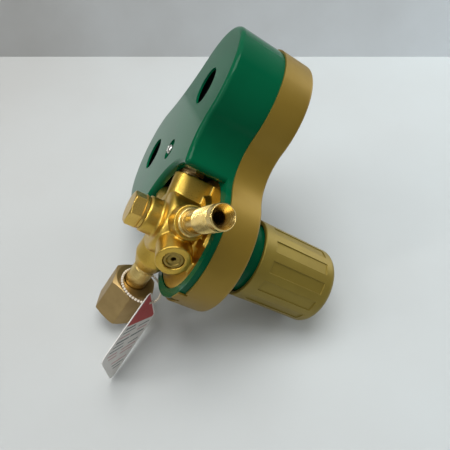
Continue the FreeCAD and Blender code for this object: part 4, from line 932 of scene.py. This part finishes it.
@dataclass(frozen=True)
class Gauge:
    """One pressure gauge, behind its window in the front cover."""

    name: str
    body: str
    side: float
    numbers: tuple[str, ...]
    red_from: float
    radius: float = 34.5
    wall: float = 1.2
    front: float = 10.5
    back: float = 44.0
    bezel: float = 35.6
    lens_radius: float = 33.25
    dial_radius: float = 33.2
    dial_depth: float = 16.4
    dial_thick: float = 0.8
    start: float = 225.0
    sweep: float = 270.0
    number_reach: float = 20.2
    number_size: float = 5.2

    @property
    def foot(self) -> Point:
        """The gauge's middle in the plane of the knob's origin."""
        return (self.side * LOBE_SIDE, 0.0, LOBE_UP)

    def polar(self, degrees: Array, reach: Array, depth: float) -> Array:
        """Points on the dial.

        Args:
            degrees: angles from +X towards +Z.
            reach: distances from the dial's middle.
            depth: place along Y.

        Returns:
            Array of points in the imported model's frame.
        """
        turn = np.radians(degrees)
        flat = np.stack([reach * np.cos(turn), np.full_like(turn, depth), reach * np.sin(turn)], -1)
        return (flat + np.array(self.foot) - SEAT) * MM

    def build(self) -> None:
        """Builds the case, bezel, lens, dial, print, pointer and socket."""
        axis = Axis(self.foot, BACKWARD)
        back, inside = self.back, self.back - self.wall
        dial, behind, bore = self.dial_depth, self.dial_depth + self.dial_thick, self.radius - self.wall
        lens, edge = self.lens_radius, self.dial_radius
        drum = (
            (self.radius, self.front, 0.4), (self.radius, back - 3.0, 1.5), (self.radius - 3.0, back, 1.5),
            (0.0, back), (0.0, inside), (30.7, inside), (bore, back - 3.8), (bore, self.front, 0.3),
        )
        ring = (
            (32.0, -4.1, 0.5), (35.0, -4.1, 0.7), (self.bezel, -3.3, 0.5), (self.bezel, -2.7),
            (33.0, -2.7), (33.0, 10.4), (30.8, 10.4, 0.3), (30.8, -1.7, 0.8),
        )
        window = ((0.0, 10.6), (29.3, 10.9), (lens, 10.9, 0.2), (lens, 12.9, 0.2), (0.0, 12.9))
        face = ((1.6, dial), (edge, dial, 0.2), (edge, behind, 0.2), (1.6, behind))
        for name, node, corners, finish, suffix, options in (
            ("drum", "case", drum, BRUSHED_STEEL, " " + self.name, {"columns": 128}),
            ("ring", "bezel", ring, BLACK_ABS, "", {"columns": 128, "longest": 2.0}),
            ("window", "lens", window, CLEAR_LENS, "", {"closed": False}),
            ("face", "dial", face, DIAL_ENAMEL, "", {}),
        ):
            lathe(f"{self.name}_{name}", f"{self.name}_{node}", axis, corners, finish, suffix, **options)
        self.build_print()
        self.build_pointer(axis)
        smooth_copy(f"{self.name}_socket", f"{self.name}_stem", DRAWN_BRASS)

    def build_print(self) -> None:
        """Prints the scale: long and short ticks, an arc, a red zone and the numbers."""
        minor = (len(self.numbers) - 1) * 5
        angles = self.start - self.sweep * np.arange(minor + 1) / minor
        is_major = np.arange(minor + 1) % 5 == 0
        inner = np.where(is_major, 24.5, 26.5)
        outer = np.full_like(inner, 28.8)
        half = np.where(is_major, 0.55, 0.28)
        corners = [
            self.polar(angles + sign * np.degrees(half / reach), reach, self.dial_depth - lift)
            for lift in (0.06, 0.002)
            for sign, reach in ((-1, inner), (1, inner), (1, outer), (-1, outer))
        ]
        boxes = repeated(BOX, len(angles), 8)
        make(f"{self.name}_ticks", None, np.stack(corners, 1), boxes, BLACK_INK)
        end = self.start - self.sweep
        self.build_band("scale_arc", (self.start, end), (28.7, 29.1), BLACK_INK)
        self.build_band("red_zone", (self.start - self.sweep * self.red_from, end), (29.3, 30.6), RED_INK)
        self.build_numbers()

    def build_band(self, name: str, angles: Span, radii: Span, ink: Finish) -> None:
        """Prints an arc of the dial.

        Args:
            name: the piece's name after the gauge's.
            angles: where the arc starts and ends, in degrees.
            radii: its inner and outer radius.
            ink: the ink.
        """
        turn = np.linspace(*angles, 73)
        inner, outer = radii
        front, behind = self.dial_depth - 0.05, self.dial_depth - 0.001
        rails = [
            self.polar(turn, np.full_like(turn, reach), depth)
            for reach, depth in ((inner, front), (outer, front), (outer, behind), (inner, behind))
        ]
        make(f"{self.name}_{name}", None, np.stack(rails, 1), bar_faces(len(turn)), ink)

    def build_numbers(self) -> None:
        """Prints the numbers, each upright at its tick."""
        placed = []
        faces: list[list[int]] = []
        count = 0
        for index, text in enumerate(self.numbers):
            turn = self.start - self.sweep * index / (len(self.numbers) - 1)
            curve = bpy.data.curves.new("number", "FONT")
            settled(curve, body=text, size=self.number_size, extrude=0.02, resolution_u=3)
            settled(curve, align_x="CENTER", align_y="CENTER")
            source = bpy.data.objects.new("number", curve)
            mesh = bpy.data.meshes.new_from_object(source)
            raw = np.zeros(len(mesh.vertices) * 3)
            mesh.vertices.foreach_get("co", raw)
            raw = raw.reshape(-1, 3)
            middle = self.polar(np.array([turn]), np.array([self.number_reach]), self.dial_depth - 0.03)[0]
            placed.append(np.stack([raw[:, 0], -raw[:, 2], raw[:, 1]], -1) * MM + middle)
            faces += [[v + count for v in polygon.vertices] for polygon in mesh.polygons]
            count += len(raw)
            bpy.data.objects.remove(source)
            bpy.data.curves.remove(curve)
            bpy.data.meshes.remove(mesh)
        make(f"{self.name}_numbers", None, np.concatenate(placed), faces, BLACK_INK)

    def build_pointer(self, axis: Axis) -> None:
        """Builds the pointer: a tapered blade with a round hub on its arbor."""
        along = heading(self.start)
        aside = heading(self.start + 90.0)
        stations = np.array([-9.0, -8.6, -3.0, 0.0, 8.0, 17.5, 24.4, 25.0])[:, None]
        widths = np.array([1.2, 1.9, 1.5, 1.5, 1.25, 0.9, 0.25, 0.12])[:, None]
        rails = [
            (self.foot + stations * along + sign * widths * aside + np.array([0, depth, 0]) - SEAT) * MM
            for sign, depth in ((-1, 14.6), (1, 14.6), (1, 15.2), (-1, 15.2))
        ]
        points, faces = np.stack(rails, 1), bar_faces(len(stations))
        make(f"{self.name}_blade", f"{self.name}_pointer", points, faces, BLACK_INK, body=self.body)
        hub = (
            (0.0, 14.1), (2.2, 14.1, 0.4), (3.2, 14.7, 0.4), (3.2, 15.6), (1.0, 15.6), (1.0, 29.4),
            (0.0, 29.4),
        )
        lathe(f"{self.name}_hub", None, axis, hub, BLACK_INK, body=self.body, columns=48, closed=False)


@dataclass(frozen=True)
class HangTag:
    """The card tag and the bead chain that holds it round the nipple."""

    hole: Point = (45.176, 21.984, -35.507)
    length_way: Point = (0.148, 0.3067, -0.9402)
    width_way: Point = (0.8877, -0.4603, -0.0104)
    long: float = 52.7
    wide: float = 40.2
    thick: float = 0.5
    corner: float = 5.0
    hole_radius: float = 2.6
    hole_in: float = 4.4
    hole_side: float = 12.4
    slope: float = 1.3
    loop: float = 14.4
    wire: float = 0.4
    hang: Point = (3.1, -4.85, 54.9)
    bead: float = 0.98
    beads: int = 44

    def on_card(self, flat: Array, lift: float) -> Array:
        """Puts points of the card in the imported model's frame.

        Args:
            flat: array of (along, across) from the card's upper corner.
            lift: height over the card's middle.

        Returns:
            Array of points.
        """
        long_way, wide_way = np.array(self.length_way), np.array(self.width_way)
        normal = np.cross(long_way, wide_way)
        start = np.array(self.hole) - self.hole_in * long_way - self.hole_side * wide_way
        return (start + (flat[..., :1] * long_way + flat[..., 1:] * wide_way) + lift * normal - SEAT) * MM

    def rim(self, count: int) -> Array:
        """The card's outline: a rectangle with round corners, as (along, across) points.

        A quarter circle stands at each corner; its centre is the corner radius inside.

        Args:
            count: points on each corner.

        Returns:
            The outline, which runs round once.
        """
        near, far, side = self.corner, self.long - self.corner, self.wide - self.corner
        arcs = []
        for quarter, centre in enumerate(((far, side), (near, side), (near, near), (far, near))):
            turn = np.linspace(0, math.pi / 2, count) + quarter * math.pi / 2
            arcs.append(np.array(centre) + self.corner * np.stack([np.cos(turn), np.sin(turn)], -1))
        return np.concatenate(arcs)

    def build(self) -> None:
        """Builds the card, its print and the chain."""
        self.build_card()
        self.build_print()
        self.build_chain()

    def build_card(self) -> None:
        """Builds the card as rings of points between its hole and its outline."""
        outer = self.rim(12)
        middle = np.array([self.hole_in, self.hole_side])
        way = outer - middle
        inner = middle + way / np.linalg.norm(way, axis=1)[:, None] * self.hole_radius
        rings = inner + (outer - inner) * np.array([0.0, 0.1, 0.3, 0.65, 1.0])[:, None, None]
        half = self.thick / 2
        points = np.concatenate([self.on_card(rings, half), self.on_card(rings[::-1], -half)])
        make("card_tag", "hang_tag", points, grid_faces(len(points), len(outer), True, True), CARD)

    def print_fields(self) -> dict[str, list]:
        """The printed fields: a red one, then rows of slanted bars in place of words.

        Returns:
            Each ink's fields, as four (along, across) corners.
        """
        fields = {"red": [[(1.4, 1.4), (1.4, 36.5), (3.2, 36.5), (27.0, 1.4)]], "grey": [], "pink": []}
        for row, start in enumerate(np.arange(30.5, 80.0, 3.5)):
            ink = "pink" if row in (2, 6, 7, 9) else "grey"
            thick = 1.5 if ink == "grey" and row % 3 == 0 else 1.0
            for left, right in ((4.0, 15.0 + 3 * (row % 2)), (19.5 + 2 * (row % 3), 36.0)):
                left = max(left, (start - 47.5) * self.slope)
                near, far = start - left / self.slope, start - right / self.slope
                if right - left >= 4 and far >= 4 and not (row in (4, 8) and left > 10):
                    bar_corners = [(near, left), (far, right), (far + thick, right), (near + thick, left)]
                    fields[ink].append(bar_corners)
        return fields

    def build_print(self) -> None:
        """Prints the fields, each a thin slab in the card's face."""
        inks = {"red": CARD_RED, "grey": CARD_GREY, "pink": CARD_PINK}
        for name, shapes in self.print_fields().items():
            corners = np.array(shapes)
            sides = [self.on_card(corners, self.thick / 2 + lift) for lift in (0.03, -0.02)]
            boxes = repeated(BOX, len(corners), 8)
            make(f"tag_print_{name}", None, np.concatenate(sides, 1), boxes, inks[name])

    def build_chain(self) -> None:
        """Builds the beads and the thin wire between them.

        A bead's surface is its centre plus its radius times (cos v cos u, cos v sin u,
        sin v); the centres stand at equal angles on the loop.
        """
        rows, columns, steps, sides = 7, 10, 132, 6
        turn = (np.arange(self.beads) + 0.5) * 2 * math.pi / self.beads
        centres = np.stack([np.cos(turn), np.sin(turn), np.zeros_like(turn)], -1) * self.loop
        u = np.arange(columns) * 2 * math.pi / columns
        v = np.linspace(-math.pi / 2, math.pi / 2, rows)[:, None]
        ball = np.stack(np.broadcast_arrays(np.cos(v) * np.cos(u), np.cos(v) * np.sin(u), np.sin(v)), -1)
        points = np.array(self.hang) + centres[:, None, None] + self.bead * ball[None]
        faces = repeated(grid_faces(rows, columns, False, True), self.beads, rows * columns)
        make("chain_beads", "tag_chain", INLET_AXIS.placed(points), faces, IVORY_BEADS, angle=60)
        around = np.linspace(0, 2 * math.pi, steps + 1)[:-1, None]
        section = np.arange(sides) * math.pi / 3
        reach, lift = self.loop + self.wire * np.cos(section), self.wire * np.sin(section)
        wire = np.stack(np.broadcast_arrays(reach * np.cos(around), reach * np.sin(around), lift), -1)
        points, faces = INLET_AXIS.placed(np.array(self.hang) + wire), grid_faces(steps, sides, True, True)
        make("chain_wire", None, points, faces, CHAIN_WIRE, " chain", axis=INLET_AXIS, angle=60)


@dataclass(frozen=True)
class Hidden:
    """The inner pieces of one finish, their names in one line: they keep their CAD shape."""

    finish: Finish
    nodes: str

    def build(self) -> None:
        """Gives each inner node its finish."""
        for name in self.nodes.split():
            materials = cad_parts[name].data.materials
            materials.clear()
            materials.append(self.finish.made())
            LOG.info("%s: %s", name, self.finish.name)


@dataclass(frozen=True)
class Studio:
    """The camera where the photograph was taken, the table, the wall and the light."""

    eye: Point = (-227.674, 110.39, -143.574)
    right: Point = (-0.517209, -0.842927, 0.148218)
    down: Point = (0.395052, -0.388756, -0.832348)
    ahead: Point = (0.759229, -0.371944, 0.534068)
    table_up: Point = (-0.8355, 0.5348, 0.1259)
    table_drop: float = 293.6
    wall_away: float = 519.0
    stage_reach: float = 3.0
    tube_way: Point = (-0.2, 0.95, -0.14)
    tube_along: Point = (0.46, 0.05, -0.37)
    tube_length: float = 0.65
    # The table's and the wall's colours on the camera's left and right; the darker left ones are painted
    # shade.
    floor_painted_shade_colours: tuple[str, str] = ("AFAEAB", "BEC3C3")
    wall_painted_shade_colours: tuple[str, str] = ("9C9A96", "D6DADD")
    room_colour: str = "D9DCDD"

    def eye_point(self) -> Array:
        """The camera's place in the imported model's frame, in metres."""
        return (np.array(self.eye) - SEAT) * MM

    def build(self) -> None:
        """Builds the camera, the stage, the lamps and the room."""
        self.build_camera()
        self.build_stage()
        self.build_lamps()
        self.build_room()

    def build_camera(self) -> None:
        """Sets up the camera: 36 mm lens on a 36 mm sensor, turned as in the photograph."""
        camera = linked("camera", settled(bpy.data.cameras.new("camera"), lens=36.0, sensor_width=36.0))
        turn = np.stack([np.array(self.right), -np.array(self.down), -np.array(self.ahead)], 1)
        camera.matrix_world = Matrix.Translation(Vector(self.eye_point())) @ Matrix(turn.tolist()).to_4x4()
        bpy.context.scene.camera = camera

    def stage_material(self, name: str, colours: tuple[str, str]) -> Material:
        """A matt surface seen from its front only, with soft stains and painted shade that darkens it towards
        the camera's left.

        Args:
            name: the material's name.
            colours: its colour on the camera's left, darkened there as painted shade, and on the right.

        Returns:
            The material.
        """
        material = bpy.data.materials.new(name)
        material.use_nodes = True
        tree = material.node_tree
        tree.nodes.clear()
        seen = worked(tree, "SUBTRACT", 1.0, add(tree, "LightPath").outputs["Is Shadow Ray"])
        behind = add(tree, "NewGeometry").outputs["Backfacing"]
        shown = worked(tree, "MULTIPLY", seen, worked(tree, "SUBTRACT", 1.0, behind))
        clear = add(tree, "BsdfTransparent").outputs["BSDF"]
        place = add(tree, "TexCoord").outputs["Object"]
        stains = add(tree, "TexNoise", {"Vector": place, "Scale": 9.0, "Detail": 8.0}).outputs["Fac"]
        # Painted shade: across the camera's view the colour runs from the darker left colour to the lighter
        # right one, as the light falls off; the soft stains are added on top.
        inputs = {0: place, 1: self.right}
        across = add(tree, "VectorMath", inputs, operation="DOT_PRODUCT").outputs["Value"]
        across = worked(tree, "SUBTRACT", across, float(np.dot(self.eye_point(), self.right)))
        stains_and_painted_shade = worked(tree, "MULTIPLY_ADD", stains, 0.5, ranged(tree, across, (-0.3, 0.3)))
        colour = blended(tree, stains_and_painted_shade, *colours, clamp_factor=False)
        matt = add(tree, "BsdfDiffuse", {"Color": colour}).outputs["BSDF"]
        mixed = add(tree, "MixShader", {0: shown, 1: clear, 2: matt}).outputs["Shader"]
        add(tree, "OutputMaterial", {"Surface": mixed})
        return material

    def build_plane(self, name: str, centre: Array, normal: Array, colours: tuple[str, str]) -> None:
        """Adds a large square of the stage.

        Args:
            name: the object's name.
            centre: its middle, in metres.
            normal: the way that it faces.
            colours: its colour on the left, darkened there as painted shade, and on the right.
        """
        side = np.cross(normal, np.array(self.ahead))
        side /= np.linalg.norm(side)
        other = np.cross(normal, side)
        ends = ((-1, -1), (1, -1), (1, 1), (-1, 1))
        corners = [tuple(centre + self.stage_reach * (a * side + b * other)) for a, b in ends]
        mesh = bpy.data.meshes.new(name)
        mesh.from_pydata(corners, [], [(0, 1, 2, 3)])
        if Vector(mesh.polygons[0].normal).dot(Vector(normal)) < 0:
            mesh.flip_normals()
        mesh.materials.append(self.stage_material(name, colours))
        linked(name, mesh)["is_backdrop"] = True

    def build_stage(self) -> None:
        """Adds the table that the regulator lies on and the wall behind it."""
        up = np.array(self.table_up) / np.linalg.norm(self.table_up)
        foot = self.eye_point() - up * self.table_drop * MM
        ahead = np.array(self.ahead)
        level = ahead - up * ahead.dot(up)
        level /= np.linalg.norm(level)
        self.build_plane("table", foot, up, self.floor_painted_shade_colours)
        self.build_plane("wall", foot + level * self.wall_away * MM, -level, self.wall_painted_shade_colours)

    def build_lamps(self) -> None:
        """Adds the soft lamps, which all face the object; the tube is long, the others square."""
        up, right, down, ahead = (np.array(way) for way in (self.table_up, self.right, self.down, self.ahead))
        middle = sum(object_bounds(), Vector()) / 2
        for name, way, distance, size, power in (
            ("ceiling", up + 0.25 * ahead, 1.1, 0.8, 10.5),
            ("window", 0.5 * up + 0.5 * right + 0.5 * ahead, 1.0, 0.4, 3.0),
            ("tube", self.tube_way, 1.0, 0.05, 2.2),
            ("room", -ahead - 0.4 * right - 0.2 * down, 1.3, 1.5, 5.0),
            ("low fill", -up + 0.3 * right, 1.3, 1.4, 2.0),
            ("far fill", ahead - 0.3 * up + right, 1.3, 1.2, 3.0),
        ):
            data = bpy.data.lights.new(name, "AREA")
            settled(data, shape="RECTANGLE", size=size, size_y=size, energy=power)
            unit = Vector(way).normalized()
            turn = unit.to_track_quat("Z", "Y").to_matrix()
            if name == "tube":
                data.size = self.tube_length
                across = unit.cross(Vector(self.tube_along)).normalized()
                turn = Matrix((across.cross(unit), across, unit)).transposed()
            lamp = linked(name, data)
            lamp.visible_camera = False
            lamp.matrix_world = Matrix.Translation(middle + unit * distance) @ turn.to_4x4()

    def build_room(self) -> None:
        """Adds the pale room: dim as a light, but bright where the camera looks at it."""
        world = bpy.data.worlds.new("room")
        bpy.context.scene.world = world
        world.use_nodes = True
        tree = world.node_tree
        tree.nodes.clear()
        path = add(tree, "LightPath").outputs
        direct = worked(tree, "MAXIMUM", path["Is Camera Ray"], path["Is Transmission Ray"])
        colour = linear(self.room_colour)
        around, seen = (
            add(tree, "Background", {"Color": colour, "Strength": strength}).outputs[0]
            for strength in (0.34, 1.0)
        )
        mixed = add(tree, "MixShader", {0: direct, 1: around, 2: seen}).outputs["Shader"]
        add(tree, "OutputWorld", {"Surface": mixed})
        bpy.context.scene.view_settings.view_transform = "Standard"


def main() -> None:
    logging.basicConfig(level=logging.INFO, format="%(name)s %(message)s")
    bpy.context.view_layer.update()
    for assembly in (
        Covers(),
        Forging(),
        RearPlug(),
        InletUnion(),
        OutletFitting(),
        ReliefCap(),
        GripKnob(),
        Gauge("outlet_gauge", "outlet_pointer", -1.0, ("0", "4", "8", "12", "16"), 0.8),
        Gauge("inlet_gauge", "inlet_pointer", 1.0, ("0", "50", "100", "150", "200", "250", "300"), 0.9),
        HangTag(),
        Hidden(PLATED_STEEL, "flange_screws spindle thrust_ball spring_button range_spring poppet_spring"),
        Hidden(PLATED_STEEL, "relief_spring"),
        Hidden(TURNED_BRASS, "diaphragm_plate valve_seat valve_poppet relief_poppet inlet_filter"),
        Hidden(TURNED_BRASS, "outlet_gauge_movement inlet_gauge_movement outlet_gauge_tube inlet_gauge_tube"),
        Hidden(NITRILE, "diaphragm"),
        Studio(),
    ):
        assembly.build()


if __name__ == "__main__":
    main()
